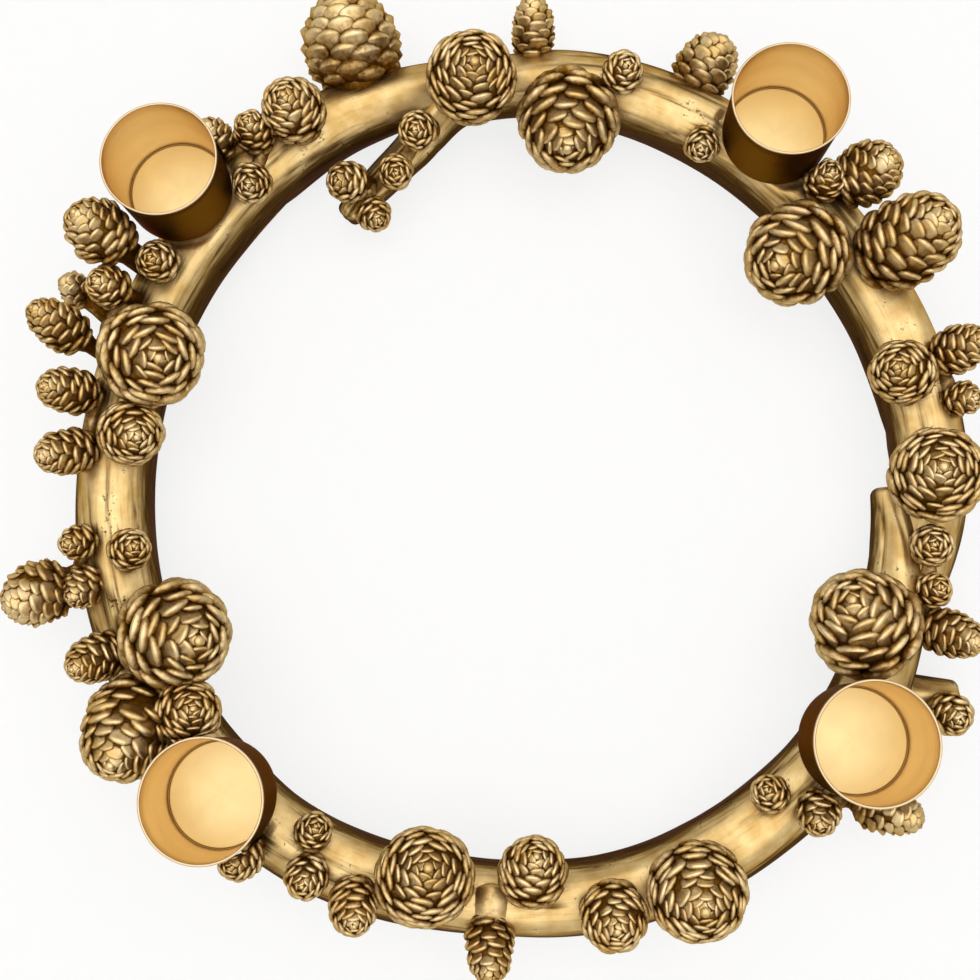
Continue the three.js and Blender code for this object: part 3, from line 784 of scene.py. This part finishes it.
def branch_skin(settings, name):
    """Skin of a branch: fine rings along its route, with rounded cut ends."""
    route = ROUTES[name]
    sides = [-math.pi / 2 + 2 * math.pi * k / SECTION_POINTS for k in range(SECTION_POINTS)]
    start, end = route[0][0], route[-1][0]
    turns = [start + (end - start) * i / ROUTE_SAMPLES for i in range(ROUTE_SAMPLES + 1)]
    middles = [branch_centre(route, turn)[0] for turn in turns]
    reach = sum((b - a).length for a, b in zip(middles, middles[1:]))
    inset = (STUB_ROUND - STUB_REACH) * (end - start) / reach
    start, end = start + inset, end - inset
    steps = round(reach / settings.mesh_step)
    stations = [(start + (end - start) * i / steps, 0.0, 0.0) for i in range(steps + 1)]
    rounding = [math.radians(90 * k / ROUNDING_STEPS) for k in range(1, ROUNDING_STEPS + 1)]
    for turn in rounding:
        push, trim = STUB_ROUND * math.sin(turn), STUB_ROUND * (1 - math.cos(turn))
        stations.insert(0, (start, -push, trim))
        stations.append((end, push, trim))
    rings, wash_and_shade, grain = [], [], []
    run = 0.0
    before = None
    for angle, push, trim in stations:
        centre, radius, along, outward = branch_frame(route, angle)
        centre = centre + along * push
        run += (centre - before).length if before else 0.0
        before = centre
        section = (centre, radius, angle, outward)
        made = [bark_point(settings, section, side, run, trim) for side in sides]
        rings.append([land(point) for point, _, _ in made])
        # Painted light: less darkening where another branch lies against this one, to lift the shade in the
        # groove between them
        beside = neighbours(name, angle)
        cut = END_WASH * min(trim / STUB_ROUND, 1)
        wash_and_shade.append([darkening * darkening_left_at_laps(point, beside) + cut for point, darkening, _ in made])
        grain.append([place for _, _, place in made])
    # Painted shadow on the bark round each cone's foot
    borne = [cone for branch, *cones in SPRIGS if branch == name for cone in cones]
    seats = [(cone_seat(name, cone)[0], CONE_SIZES[cone[0]][2] * MM) for cone in borne]
    for ring, darkening in zip(rings, wash_and_shade):
        for k, point in enumerate(ring):
            for bark, neck in seats:
                gap = (point - bark).length - neck
                if gap < SEAT_SHADE:
                    darkening[k] = max(darkening[k], SEAT_SHADOW * smooth_step(SEAT_SHADE, 0, gap))
    return ringed(rings, wash_and_shade, grain)


def neighbours(name, angle):
    """Centres and radii of the other runs of bark at an angle round the ring."""
    found = []
    for other, route in ROUTES.items():
        for turn in (angle - 360, angle, angle + 360):
            if other != name and route[0][0] <= turn <= route[-1][0]:
                found.append(branch_centre(route, turn))
    return found


def darkening_left_at_laps(point, beside):
    """Share of the darkening that stays on a point of the bark: less where another branch lies against it, a
    painted light that lifts the shade in the groove between them.
    """
    gaps = [(point - centre).length - radius for centre, radius in beside if point.z > centre.z]
    return 1 - LAP_LIGHT * max([smooth_step(LAP_REACH, 0, gap) for gap in gaps], default=0)


def land(point):
    """Lowers a point of the bark to the flat landing under a cup."""
    for cup in CUP_PLACES.values():
        if point.z > CUP_SEAT and math.hypot(point.x - cup.x, point.y - cup.y) < LANDING_RADIUS:
            return Vector((point.x, point.y, CUP_SEAT))
    return point


def turned(profile, place, count, wash_and_shade=0.0, finish=0, caps=True):
    """Skin turned round a vertical axis from pairs of radius and height."""
    rings, darkening, grain = [], [], []
    run = 0.0
    for i, (radius, height) in enumerate(profile):
        if i:
            run += math.hypot(radius - profile[i - 1][0], height - profile[i - 1][1])
        turns = [360 * k / count for k in range(count)]
        rings.append([place + polar(turn, radius, height) for turn in turns])
        darkening.append([wash_and_shade[i] if isinstance(wash_and_shade, list) else wash_and_shade] * count)
        grain.append([polar(turn, GRAIN_RADIUS, run) for turn in turns])
    return ringed(rings, darkening, grain, caps, finish)


def paint_seams(made, source):
    """Gives the points along a cut the darkening of wash and painted shade, and the grain, of the nearest
    point of the mesh that was cut.
    """
    places = kdtree.KDTree(len(source.vertices))
    for vertex in source.vertices:
        places.insert(vertex.co, vertex.index)
    places.balance()
    old_wash, old_grain = (source.attributes[name].data for name in ("wash_and_shade", "grain"))
    new_wash, new_grain = (made.attributes[name].data for name in ("wash_and_shade", "grain"))
    for vertex in made.vertices:
        if new_grain[vertex.index].vector.length_squared == 0:
            _, near, _ = places.find(vertex.co)
            new_wash[vertex.index].value = old_wash[near].value
            new_grain[vertex.index].vector = old_grain[near].vector


def combine(piece_mesh, tool_mesh, operation):
    """Joins or cuts a mesh with another, and gives the new mesh."""
    body = bpy.data.objects.new("body", piece_mesh)
    tool = bpy.data.objects.new("tool", tool_mesh)
    for helper in (body, tool):
        bpy.context.scene.collection.objects.link(helper)
    cut = body.modifiers.new("Cut", "BOOLEAN")
    cut.object = tool
    cut.operation = operation
    cut.solver = "MANIFOLD"
    evaluated = body.evaluated_get(bpy.context.evaluated_depsgraph_get())
    made = bpy.data.meshes.new_from_object(evaluated)
    body.modifiers.remove(cut)
    for helper in (body, tool):
        bpy.data.objects.remove(helper)
    paint_seams(made, piece_mesh)
    return made


class WREATH_OT_branches(Operator):
    """Build the two bark-covered branches with their bosses and screw holes."""

    bl_idname = "wreath.branches"
    bl_label = "Branches"

    def execute(self, context):
        settings = context.scene.wreath_branches
        material = antique_gold("antique_gold_on_resin_bark", settings, True)
        for name, runs in BRANCHES.items():
            mesh, *stubs = [branch_skin(settings, run).to_mesh(f"bark_{run}", [material]) for run in runs]
            for stub in stubs:
                mesh = combine(mesh, stub, "UNION")
            for cup_name, (branch, _, _) in CUPS.items():
                if branch == name:
                    mesh = self.with_boss(mesh, cup_name, material)
            mesh.shade_smooth()
            add_piece(f"branch_{name}_bark", mesh, "antique_gold_bark", f"branch_{name}")
        return {"FINISHED"}

    def with_boss(self, mesh, cup_name, material):
        """Adds the boss under a cup, then drills it for the stud and the nut."""
        place = axis_of(f"cup_stud_{cup_name}")
        shoulder = NUT_SEAT + NUT_CLEARANCE
        sides = [(BOSS_FOOT_RADIUS, UNDERSIDE), (BOSS_TOP_RADIUS, CUP_SEAT)]
        holes = [
            (COUNTERBORE_RADIUS, -MM),
            (COUNTERBORE_RADIUS, shoulder),
            (STUD_HOLE_RADIUS, shoulder),
            (STUD_HOLE_RADIUS, CUP_SEAT + MM),
        ]
        boss = turned(sides, place, BOSS_POINTS, BOSS_WASH).to_mesh("boss", [material])
        drill = turned(holes, place, BOSS_POINTS, DRILL_WASH).to_mesh("drill", [material])
        return combine(combine(mesh, boss, "UNION"), drill, "DIFFERENCE")


def scale_mesh(form):
    """One scale of a cone, of width 1: a thick petal that rises from its root to a rounded, undercut lip."""
    (round_off, narrowing), *profile = form
    rings, wash_and_shade = [], []
    for station in SCALE_STATIONS:
        thin = (1 - station**2) ** 0.5
        narrow = (1 - abs(station) ** round_off) ** narrowing
        rings.append([Vector((0.5 * station, y * narrow, z * thin)) for y, z, _ in profile])
        wash_and_shade.append([max(darkening, EDGE_WASH * station**4) for _, _, darkening in profile])
    return ringed(rings, wash_and_shade).to_mesh("cone_scale", [])


def cone_tree():
    """Tree that sets a scale on each step of a golden spiral, from the foot of a cone's egg to its tip."""
    tree = bpy.data.node_groups.new("Pine Cone", "GeometryNodeTree")
    sockets = {
        "Scale": "NodeSocketGeometry",
        "Count": "NodeSocketInt",
        "Radius": "NodeSocketFloat",
        "Waist": "NodeSocketFloat",
        "Foot Reach": "NodeSocketFloat",
        "Tip Reach": "NodeSocketFloat",
        "Width": "NodeSocketFloat",
        "Height": "NodeSocketFloat",
        "Unevenness": "NodeSocketFloat",
        "Seed": "NodeSocketInt",
        "Material": "NodeSocketMaterial",
    }
    for name, kind in sockets.items():
        tree.interface.new_socket(name, in_out="INPUT", socket_type=kind)
    tree.interface.new_socket("Cone", in_out="OUTPUT", socket_type="NodeSocketGeometry")
    given = add_node(tree, "NodeGroupInput").outputs
    math_node = "ShaderNodeMath"
    vector_node = "ShaderNodeVectorMath"
    foot = math.sin(CONE_FOOT)
    # Share of the way up, then the height on a unit ball with the scales crowding towards the tip
    index = add_node(tree, "GeometryNodeInputIndex")
    step = add_node(tree, math_node, {0: index, 1: 0.5}, operation="ADD")
    share = add_node(tree, math_node, {0: step, 1: given["Count"]}, operation="DIVIDE")
    left = add_node(tree, math_node, {0: 1.0, 1: share}, operation="SUBTRACT")
    fall = add_node(tree, math_node, {0: left, 1: SCALE_CROWDING}, operation="POWER")
    sine = add_node(tree, math_node, {0: fall, 1: -1 - foot, 2: 1.0}, operation="MULTIPLY_ADD")
    swing = add_node(tree, math_node, {0: sine}, operation="ARCSINE")
    cosine = add_node(tree, math_node, {0: swing}, operation="COSINE")
    # The egg is blunter below its waist than above it
    above = add_node(tree, math_node, {0: sine, 1: 0.0}, operation="GREATER_THAN")
    change = add_node(tree, math_node, {0: given["Tip Reach"], 1: given["Foot Reach"]}, operation="SUBTRACT")
    reach = add_node(tree, math_node, {0: above, 1: change, 2: given["Foot Reach"]}, operation="MULTIPLY_ADD")
    out = add_node(tree, math_node, {0: cosine, 1: given["Radius"]}, operation="MULTIPLY")
    height = add_node(tree, math_node, {0: reach, 1: sine, 2: given["Waist"]}, operation="MULTIPLY_ADD")
    normal_out = add_node(tree, math_node, {0: reach, 1: cosine}, operation="MULTIPLY")
    normal_up = add_node(tree, math_node, {0: given["Radius"], 1: sine}, operation="MULTIPLY")
    inward = add_node(tree, math_node, {0: normal_up, 1: -1.0}, operation="MULTIPLY")
    # Golden angle between neighbours
    late = add_node(tree, math_node, {0: index, 1: given["Seed"]}, operation="ADD")
    regular = add_node(tree, math_node, {0: late, 1: GOLDEN_TURN}, operation="MULTIPLY")
    stray = add_node(
        tree, "FunctionNodeRandomValue", {2: -1.0, 3: 1.0, 8: late}, data_type="FLOAT"
    ).outputs[1]
    turn = add_node(tree, math_node, {0: stray, 1: given["Unevenness"], 2: regular}, operation="MULTIPLY_ADD")
    east = add_node(tree, math_node, {0: turn}, operation="COSINE")
    north = add_node(tree, math_node, {0: turn}, operation="SINE")
    radial = add_node(tree, "ShaderNodeCombineXYZ", {0: east, 1: north})
    rise = add_node(tree, "ShaderNodeCombineXYZ", {2: height})
    place = add_node(tree, vector_node, {0: radial, 1: out, 2: rise}, operation="MULTIPLY_ADD")
    facing_up = add_node(tree, "ShaderNodeCombineXYZ", {2: normal_up})
    facing = add_node(tree, vector_node, {0: radial, 1: normal_out, 2: facing_up}, operation="MULTIPLY_ADD")
    pointing_up = add_node(tree, "ShaderNodeCombineXYZ", {2: normal_out})
    pointing = add_node(tree, vector_node, {0: radial, 1: inward, 2: pointing_up}, operation="MULTIPLY_ADD")
    turned_to = add_node(
        tree, "FunctionNodeAxesToRotation", {0: facing, 1: pointing}, primary_axis="Z", secondary_axis="Y"
    )
    # Scales shrink as they crowd, and each differs a little
    room = add_node(tree, math_node, {0: left, 1: (SCALE_CROWDING - 1) / 2}, operation="POWER")
    least = add_node(tree, math_node, {0: 1.0, 1: given["Unevenness"]}, operation="SUBTRACT")
    most = add_node(tree, math_node, {0: 1.0, 1: given["Unevenness"]}, operation="ADD")
    chance = add_node(
        tree, "FunctionNodeRandomValue", {2: least, 3: most, 8: given["Seed"]}, data_type="FLOAT"
    ).outputs[1]
    grown = add_node(tree, math_node, {0: room, 1: chance}, operation="MULTIPLY")
    wide = add_node(tree, math_node, {0: grown, 1: given["Width"]}, operation="MULTIPLY")
    tall = add_node(tree, math_node, {0: wide, 1: given["Height"]}, operation="MULTIPLY")
    sizes = add_node(tree, "ShaderNodeCombineXYZ", {0: wide, 1: wide, 2: tall})
    points = add_node(tree, "GeometryNodePoints", {"Count": given["Count"], "Position": place})
    planted = add_node(
        tree,
        "GeometryNodeInstanceOnPoints",
        {"Points": points, "Instance": given["Scale"], "Rotation": turned_to, "Scale": sizes},
    )
    real = add_node(tree, "GeometryNodeRealizeInstances", {"Geometry": planted})
    painted = add_node(tree, "GeometryNodeSetMaterial", {"Geometry": real, "Material": given["Material"]})
    add_node(tree, "NodeGroupOutput", {"Cone": painted})
    return tree


def scaled_cone(tree, scale, values):
    """Mesh of a cone's scales, grown by the tree from one scale."""
    grower = bpy.data.objects.new("cone_grower", scale)
    bpy.context.scene.collection.objects.link(grower)
    growth = grower.modifiers.new("Scales", "NODES")
    growth.node_group = tree
    for socket in tree.interface.items_tree:
        if socket.name in values:
            growth[socket.identifier] = values[socket.name]
    evaluated = grower.evaluated_get(bpy.context.evaluated_depsgraph_get())
    mesh = bpy.data.meshes.new_from_object(evaluated)
    grower.modifiers.remove(growth)
    bpy.data.objects.remove(grower)
    return mesh


def egg_profile(size, stem):
    """Radius, height and wash of the core under a cone's scales, from the root of its neck to its tip."""
    diameter, tall, neck, lip = (value * MM for value in size[:4])
    waist = CONE_WAIST * tall
    radius = diameter / 2 - lip
    root_wash, collar_wash = NECK_WASH
    foot_wash, side_wash = CORE_WASH
    root, collar = -max(stem, 0) - NECK_ROOT, -0.3 * max(stem, 0) - MM
    outline = [(neck, root, root_wash), (neck, collar, collar_wash)]
    for i in range(CORE_STEPS):
        swing = -CONE_FOOT + (math.pi / 2 + CONE_FOOT) * i / CORE_STEPS
        reach = waist / math.sin(CONE_FOOT) if swing < 0 else tall - waist - lip
        darkening = foot_wash if i < 2 else side_wash
        outline.append((radius * math.cos(swing), waist + reach * math.sin(swing), darkening))
    knob = KNOB_SHARE * diameter
    top = tall - lip
    outline += [(knob, top - 0.2 * knob, 0.9), (knob, top + 0.5 * knob, 0.1), (0.5 * knob, top + knob, 0.0)]
    return outline


def twig_rings(branch, stops, thickness, lift):
    """Rings of a twig along the bark, through places given as a cone's are."""
    seats = []
    for stop in stops:
        bark, normal, _ = cone_seat(branch, stop)
        seats.append(bark + normal * lift)
    stops = [2 * seats[0] - seats[1], *seats, 2 * seats[-1] - seats[-2]]
    path = []
    for a, b, c, d in zip(stops, stops[1:], stops[2:], stops[3:]):
        bend = 2 * a - 5 * b + 4 * c - d
        swerve = 3 * b - a - 3 * c + d
        for i in range(TWIG_STEPS):
            t = i / TWIG_STEPS
            path.append(0.5 * (2 * b + (c - a) * t + bend * t**2 + swerve * t**3))
    path.append(seats[-1])
    rings = []
    for i, point in enumerate(path):
        ahead = path[min(i + 1, len(path) - 1)] - path[max(i - 1, 0)]
        side = ahead.cross(UP).normalized()
        rise = side.cross(ahead).normalized()
        # Knotty, and thinner towards its start
        radius = thickness * (1 + TWIG_LUMP * noise.noise(point / TWIG_LUMP_SIZE)) * min(1, 0.55 + 0.06 * i)
        turns = [2 * math.pi * k / TWIG_POINTS for k in range(TWIG_POINTS)]
        rings.append([point + radius * (side * math.cos(turn) + rise * math.sin(turn)) for turn in turns])
    return rings


def clear_of_cups(point):
    """Moves a point of a cone that would stand in a cup out to just beside the cup's wall."""
    for cup in CUP_PLACES.values():
        away = Vector((point.x - cup.x, point.y - cup.y, 0))
        if point.z > CUP_SEAT and away.length < CUP_REACH:
            return point + away * (CUP_REACH / away.length - 1)
    return point


class WREATH_OT_cones(Operator):
    """Grow the pine cones and sprigs on their seats along the bark."""

    bl_idname = "wreath.cones"
    bl_label = "Pine Cones"

    def execute(self, context):
        settings = context.scene.wreath_cones
        material = antique_gold("antique_gold_on_resin_cones", settings, False)
        tree = cone_tree()
        scales = {name: scale_mesh(form) for name, form in SCALE_FORMS.items()}
        for number, (branch, *cones) in enumerate(SPRIGS, 1):
            skin = Skin()
            for order, cone in enumerate(cones):
                self.grow(skin, tree, scales, branch, cone, material, settings, number + SEED_STEP * order)
            if len(cones) > 1:
                rings = twig_rings(branch, cones, TWIG_RADIUS, TWIG_RISE)
                skin.add_rings(rings, evenly(rings, TWIG_WASH))
            if number in STEMS:
                size, angle, side, _, _ = cones[0]
                start = STEMS[number]
                sides = [start + (side - start) * k / STEM_SPANS for k in range(STEM_SPANS + 1)]
                stops = [(size, angle, turn, 0, 0) for turn in sides]
                rings = twig_rings(branch, stops, STEM_RADIUS, STEM_RISE)
                skin.add_rings(rings, evenly(rings, STEM_WASH))
            skin.points = [clear_of_cups(point) for point in skin.points]
            node = f"cone_sprig_{number:02d}" if len(cones) > 1 else f"pine_cone_{number:02d}"
            add_piece(f"{node}_cast", skin.to_mesh(f"{node}_cast", [material]), "antique_gold_cone", node)
        return {"FINISHED"}

    def grow(self, skin, tree, scales, branch, cone, material, settings, number):
        """Adds one cone to a skin: its scales, then its core and neck."""
        size, stem = CONE_SIZES[cone[0]], cone[4] * MM
        diameter, tall, _, lip, count, width, height, form = size
        bark, _, axis = cone_seat(branch, cone)
        place = Matrix.Translation(bark + axis * stem) @ UP.rotation_difference(axis).to_matrix().to_4x4()
        waist = CONE_WAIST * tall
        room = math.sqrt(math.pi * diameter * tall / count)
        values = {
            "Count": count,
            "Radius": (diameter / 2 - lip) * MM,
            "Waist": waist * MM,
            "Foot Reach": waist / math.sin(CONE_FOOT) * MM,
            "Tip Reach": (tall - waist - lip) * MM,
            "Width": width * room * MM,
            "Height": height,
            "Unevenness": settings.unevenness,
            "Seed": settings.seed + number,
            "Material": material,
        }
        shaded = FOOT_SHADE * tall * MM
        skin.add_mesh(scaled_cone(tree, scales[form], values), place, shaded)
        outline = egg_profile(size, stem)
        core = turned([(r, z) for r, z, _ in outline], Vector(), CORE_POINTS, [w for _, _, w in outline])
        skin.add_mesh(core.to_mesh("cone_core", []), place, shaded)


def arc(centre, radius, start, end, steps):
    """Pairs of radius and height along an arc, by angles in degrees."""
    turns = [math.radians(start + (end - start) * i / steps) for i in range(steps + 1)]
    return [(centre[0] + radius * math.cos(t), centre[1] + radius * math.sin(t)) for t in turns]


class WREATH_OT_cups(Operator):
    """Spin the four candle cups."""

    bl_idname = "wreath.cups"
    bl_label = "Candle Cups"

    def execute(self, context):
        settings = context.scene.wreath_cups
        materials = [
            # The outside gold is the cup's gold with shade painted in
            plated_gold("satin_gold_painted_shade_outside", settings.outside, 0.42, 0.35 * MM, 1.0),
            plated_gold("satin_gold_plate_inside", settings.inside, 0.36, 0.35 * MM, 1.0),
            plated_gold("satin_gold_plate_floor", settings.floor, 0.45, 0.5 * MM, 0.3),
        ]
        for name in CUPS:
            low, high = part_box(f"candle_cup_{name}")
            place = box_centre(f"candle_cup_{name}")
            place.z = low.z
            profile, wash_and_shade, finish = self.outline(settings, high.z - low.z)
            skin = turned(profile, place, CUP_POINTS, wash_and_shade, finish)
            mesh = skin.to_mesh(f"candle_cup_{name}_spun", materials)
            add_piece(f"candle_cup_{name}_spun", mesh, "satin_gold_cup", f"candle_cup_{name}")
        return {"FINISHED"}

    def outline(self, settings, height):
        """Section of a cup from under its base, over the rolled rim, to the middle of its floor."""
        rim, base = settings.rim_diameter / 2, settings.base_diameter / 2
        wall, corner = settings.wall, settings.corner
        bead = 0.62 * wall
        inner = base - wall
        groove = 0.3 * MM
        crown = 0.1 * MM
        deck = wall + crown
        floor_edge = inner - 2 * groove
        outside = [(0.3 * base, 0.0), *arc((base - corner, corner), corner, -90, 0, 6)]
        flare, rise = rim - bead - base, height - corner - 3 * bead
        steps = range(1, WALL_STEPS + 1)
        outside += [(base + flare * k / WALL_STEPS, corner + rise * k / WALL_STEPS) for k in steps]
        lip = arc((rim - bead, height - bead), bead, -20, 200, 10)
        top = height - 2 * bead
        taper, fall = inner - rim + wall, top - 2 * deck
        inside = [(rim - wall + taper * k / WALL_STEPS, top - fall * k / WALL_STEPS) for k in steps]
        ditch = arc((floor_edge + groove, deck), groove, 0, -180, 6)
        plate = [(floor_edge * k, deck + crown * (1 - k * k)) for k in (0.98, 0.75, 0.5, 0.25, 0.05)]
        # The rolled rim is darker, and the groove round the floor is darker as a painted shadow in that
        # corner
        runs = ((outside, 0.0, 0), (lip, 0.5, 1), (inside, 0.0, 1), (ditch, 0.8, 2), (plate, 0.0, 2))
        profile = [point for run, _, _ in runs for point in run]
        wash_and_shade = [darkening for run, darkening, _ in runs for _ in run]
        finish = [slot for run, _, slot in runs for _ in run]
        return profile, wash_and_shade, finish


class WREATH_OT_fasteners(Operator):
    """Cut the studs and flange nuts that hold the cups."""

    bl_idname = "wreath.fasteners"
    bl_label = "Studs and Nuts"

    def execute(self, context):
        settings = context.scene.wreath_fasteners
        material = zinc_steel(settings)
        for name in CUPS:
            stud = self.stud(settings, f"cup_stud_{name}").to_mesh(f"cup_stud_{name}_rolled", [material])
            add_piece(f"cup_stud_{name}_rolled", stud, "zinc_steel", f"cup_stud_{name}")
            nut = self.nut(f"flange_nut_{name}").to_mesh(f"flange_nut_{name}_forged", [material])
            nut.set_sharp_from_angle(angle=math.radians(30))
            add_piece(f"flange_nut_{name}_forged", nut, "zinc_steel", f"flange_nut_{name}")
        return {"FINISHED"}

    def stud(self, settings, node):
        """Stud with a rolled thread, chamfered at both ends."""
        low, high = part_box(node)
        place = axis_of(node)
        count = 24
        radius, pitch = settings.stud_diameter / 2, settings.thread_pitch
        depth = 0.6 * pitch
        steps = round((high.z - low.z) / (pitch / 5))
        rings = []
        for i in range(steps + 1):
            height = low.z + (high.z - low.z) * i / steps
            edge = min(height - low.z, high.z - height)
            ring = []
            for k in range(count):
                phase = (height / pitch - k / count) % 1
                reach = radius - depth * abs(2 * phase - 1)
                reach = min(reach, radius - depth + edge)
                ring.append(place + polar(360 * k / count, reach, height))
            rings.append(ring)
        return ringed(rings, evenly(rings, 0.0))

    def nut(self, node):
        """Hexagon nut with chamfered corners, a bore and a round flange on top."""
        low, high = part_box(node)
        place = axis_of(node)
        flange = 5.72 * MM
        flat = 4.0 * MM
        bore = 2.8 * MM
        seat = high.z - 1.2 * MM
        outline = [
            (bore + 0.4 * MM, low.z, False),
            (flat, low.z, True),
            (flat * 1.06, low.z + 0.25 * MM, True),
            (flat * 1.16, low.z + 0.8 * MM, True),
            (flat * 1.16, seat, True),
            (flange - 0.2 * MM, seat + 0.3 * MM, False),
            (flange, seat + 0.6 * MM, False),
            (flange, high.z - 0.1 * MM, False),
            (flange - 0.1 * MM, high.z, False),
            (bore + 0.3 * MM, high.z, False),
            (bore, high.z - 0.3 * MM, False),
            (bore, low.z + 0.4 * MM, False),
            (bore + 0.4 * MM, low.z, False),
        ]
        count = 72
        rings = []
        for radius, height, hexagonal in outline:
            ring = []
            for k in range(count):
                turn = 360 * k / count
                off_flat = math.radians((turn + 30) % 60 - 30)
                reach = min(radius, flat / math.cos(off_flat)) if hexagonal else radius
                ring.append(place + polar(turn, reach, height))
            rings.append(ring)
        return ringed(rings, evenly(rings, 0.0), caps=False)


class WREATH_OT_pads(Operator):
    """Punch the four felt pads that the wreath lies on."""

    bl_idname = "wreath.pads"
    bl_label = "Felt Pads"

    def execute(self, context):
        material = wool_felt(context.scene.wreath_fasteners)
        for name in PADS:
            node = f"felt_pad_{name}"
            low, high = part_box(node)
            place = box_centre(node)
            place.z = low.z
            radius, thick = (high.x - low.x) / 2, high.z - low.z
            soft = 0.3 * thick
            profile = [(0.2 * radius, 0.0), (0.6 * radius, 0.0), *arc((radius - soft, soft), soft, -90, 0, 4)]
            profile += [(radius, 0.5 * thick), *arc((radius - soft, thick - soft), soft, 0, 90, 4)]
            profile.append((0.3 * radius, thick))
            skin = turned(profile, place, 72)
            fray, tuft = 0.12 * MM, 0.7 * MM
            for i, point in enumerate(skin.points):
                fuzz = fray * noise.noise(point / tuft)
                away = Vector((point.x - place.x, point.y - place.y, 0))
                skin.points[i] = point + away * (fuzz / radius)
            mesh = skin.to_mesh(f"{node}_punched", [material])
            add_piece(f"{node}_punched", mesh, "brown_felt", node)
        return {"FINISHED"}


class WREATH_OT_stage(Operator):
    """Set the floor, backdrop, softbox, sky and camera."""

    bl_idname = "wreath.stage"
    bl_label = "Stage"

    def execute(self, context):
        settings = context.scene.wreath_stage
        scene = context.scene
        scene.view_settings.view_transform = "Standard"
        self.backdrop(scene, settings)
        lamp = bpy.data.lights.new("softbox", "AREA")
        lamp.shape = "SQUARE"
        lamp.size = settings.lamp_size
        lamp.energy = settings.lamp_power
        softbox = bpy.data.objects.new("softbox", lamp)
        softbox.location = (0, 0, settings.lamp_height)
        scene.collection.objects.link(softbox)
        world = bpy.data.worlds.new("studio_sky")
        world.use_nodes = True
        world.node_tree.nodes["Background"].inputs["Strength"].default_value = settings.sky
        world.node_tree.nodes["Background"].inputs["Color"].default_value = (1, 1, 1, 1)
        scene.world = world
        lens = bpy.data.cameras.new("photo_camera")
        lens.lens = settings.lens
        lens.sensor_width = 36
        lens.clip_start = 0.01
        camera = bpy.data.objects.new("photo_camera", lens)
        pitch, roll, yaw = settings.camera_turn
        turn = Matrix.Rotation(yaw, 4, "Z") @ Matrix.Rotation(pitch, 4, "X") @ Matrix.Rotation(roll, 4, "Y")
        camera.matrix_world = Matrix.Translation(CENTRE + Vector(settings.camera_place)) @ turn
        scene.collection.objects.link(camera)
        scene.camera = camera
        return {"FINISHED"}

    def backdrop(self, scene, settings):
        """Floor disc that curves up into a round wall."""
        profile = [(0.4, 0.0), (1.0, 0.0), (FLOOR_RADIUS, 0.0)]
        profile += arc((FLOOR_RADIUS, SWEEP_RADIUS), SWEEP_RADIUS, -90, 0, 16)
        profile.append((FLOOR_RADIUS + SWEEP_RADIUS, WALL_HEIGHT))
        skin = turned(profile, Vector((0, 0, -FLOOR_DROP)), 96)
        mesh = skin.to_mesh("studio_backdrop", [studio_paint(settings)])
        mesh.flip_normals()
        floor = bpy.data.objects.new("studio_backdrop", mesh)
        scene.collection.objects.link(floor)


class WREATH_PT_panel(Panel):
    """Lists the steps that build the wreath."""

    bl_idname = "WREATH_PT_panel"
    bl_label = "Advent Wreath"
    bl_space_type = "VIEW_3D"
    bl_region_type = "UI"
    bl_category = "Wreath"

    def draw(self, context):
        for settings_name, operators in STEPS.items():
            box = self.layout.box()
            settings = getattr(context.scene, settings_name)
            for operator in operators:
                box.operator(operator.bl_idname)
            for name in settings.__annotations__:
                box.prop(settings, name)


SETTINGS = {
    "wreath_branches": BranchSettings,
    "wreath_cones": ConeSettings,
    "wreath_cups": CupSettings,
    "wreath_fasteners": FastenerSettings,
    "wreath_stage": StageSettings,
}
STEPS = {
    "wreath_branches": (WREATH_OT_branches,),
    "wreath_cones": (WREATH_OT_cones,),
    "wreath_cups": (WREATH_OT_cups,),
    "wreath_fasteners": (WREATH_OT_fasteners, WREATH_OT_pads),
    "wreath_stage": (WREATH_OT_stage,),
}
CLASSES = (*SETTINGS.values(), *[step for steps in STEPS.values() for step in steps], WREATH_PT_panel)


def register():
    """Registers the classes and gives the scene its settings."""
    for cls in CLASSES:
        bpy.utils.register_class(cls)
    for name, cls in SETTINGS.items():
        setattr(bpy.types.Scene, name, PointerProperty(type=cls))


def unregister():
    """Takes the settings and classes away again."""
    for name in SETTINGS:
        delattr(bpy.types.Scene, name)
    for cls in reversed(CLASSES):
        bpy.utils.unregister_class(cls)


def main():
    """Builds the wreath and its stage."""
    register()
    bpy.ops.wreath.branches()
    bpy.ops.wreath.cones()
    bpy.ops.wreath.cups()
    bpy.ops.wreath.fasteners()
    bpy.ops.wreath.pads()
    bpy.ops.wreath.stage()


if __name__ == "__main__":
    main()
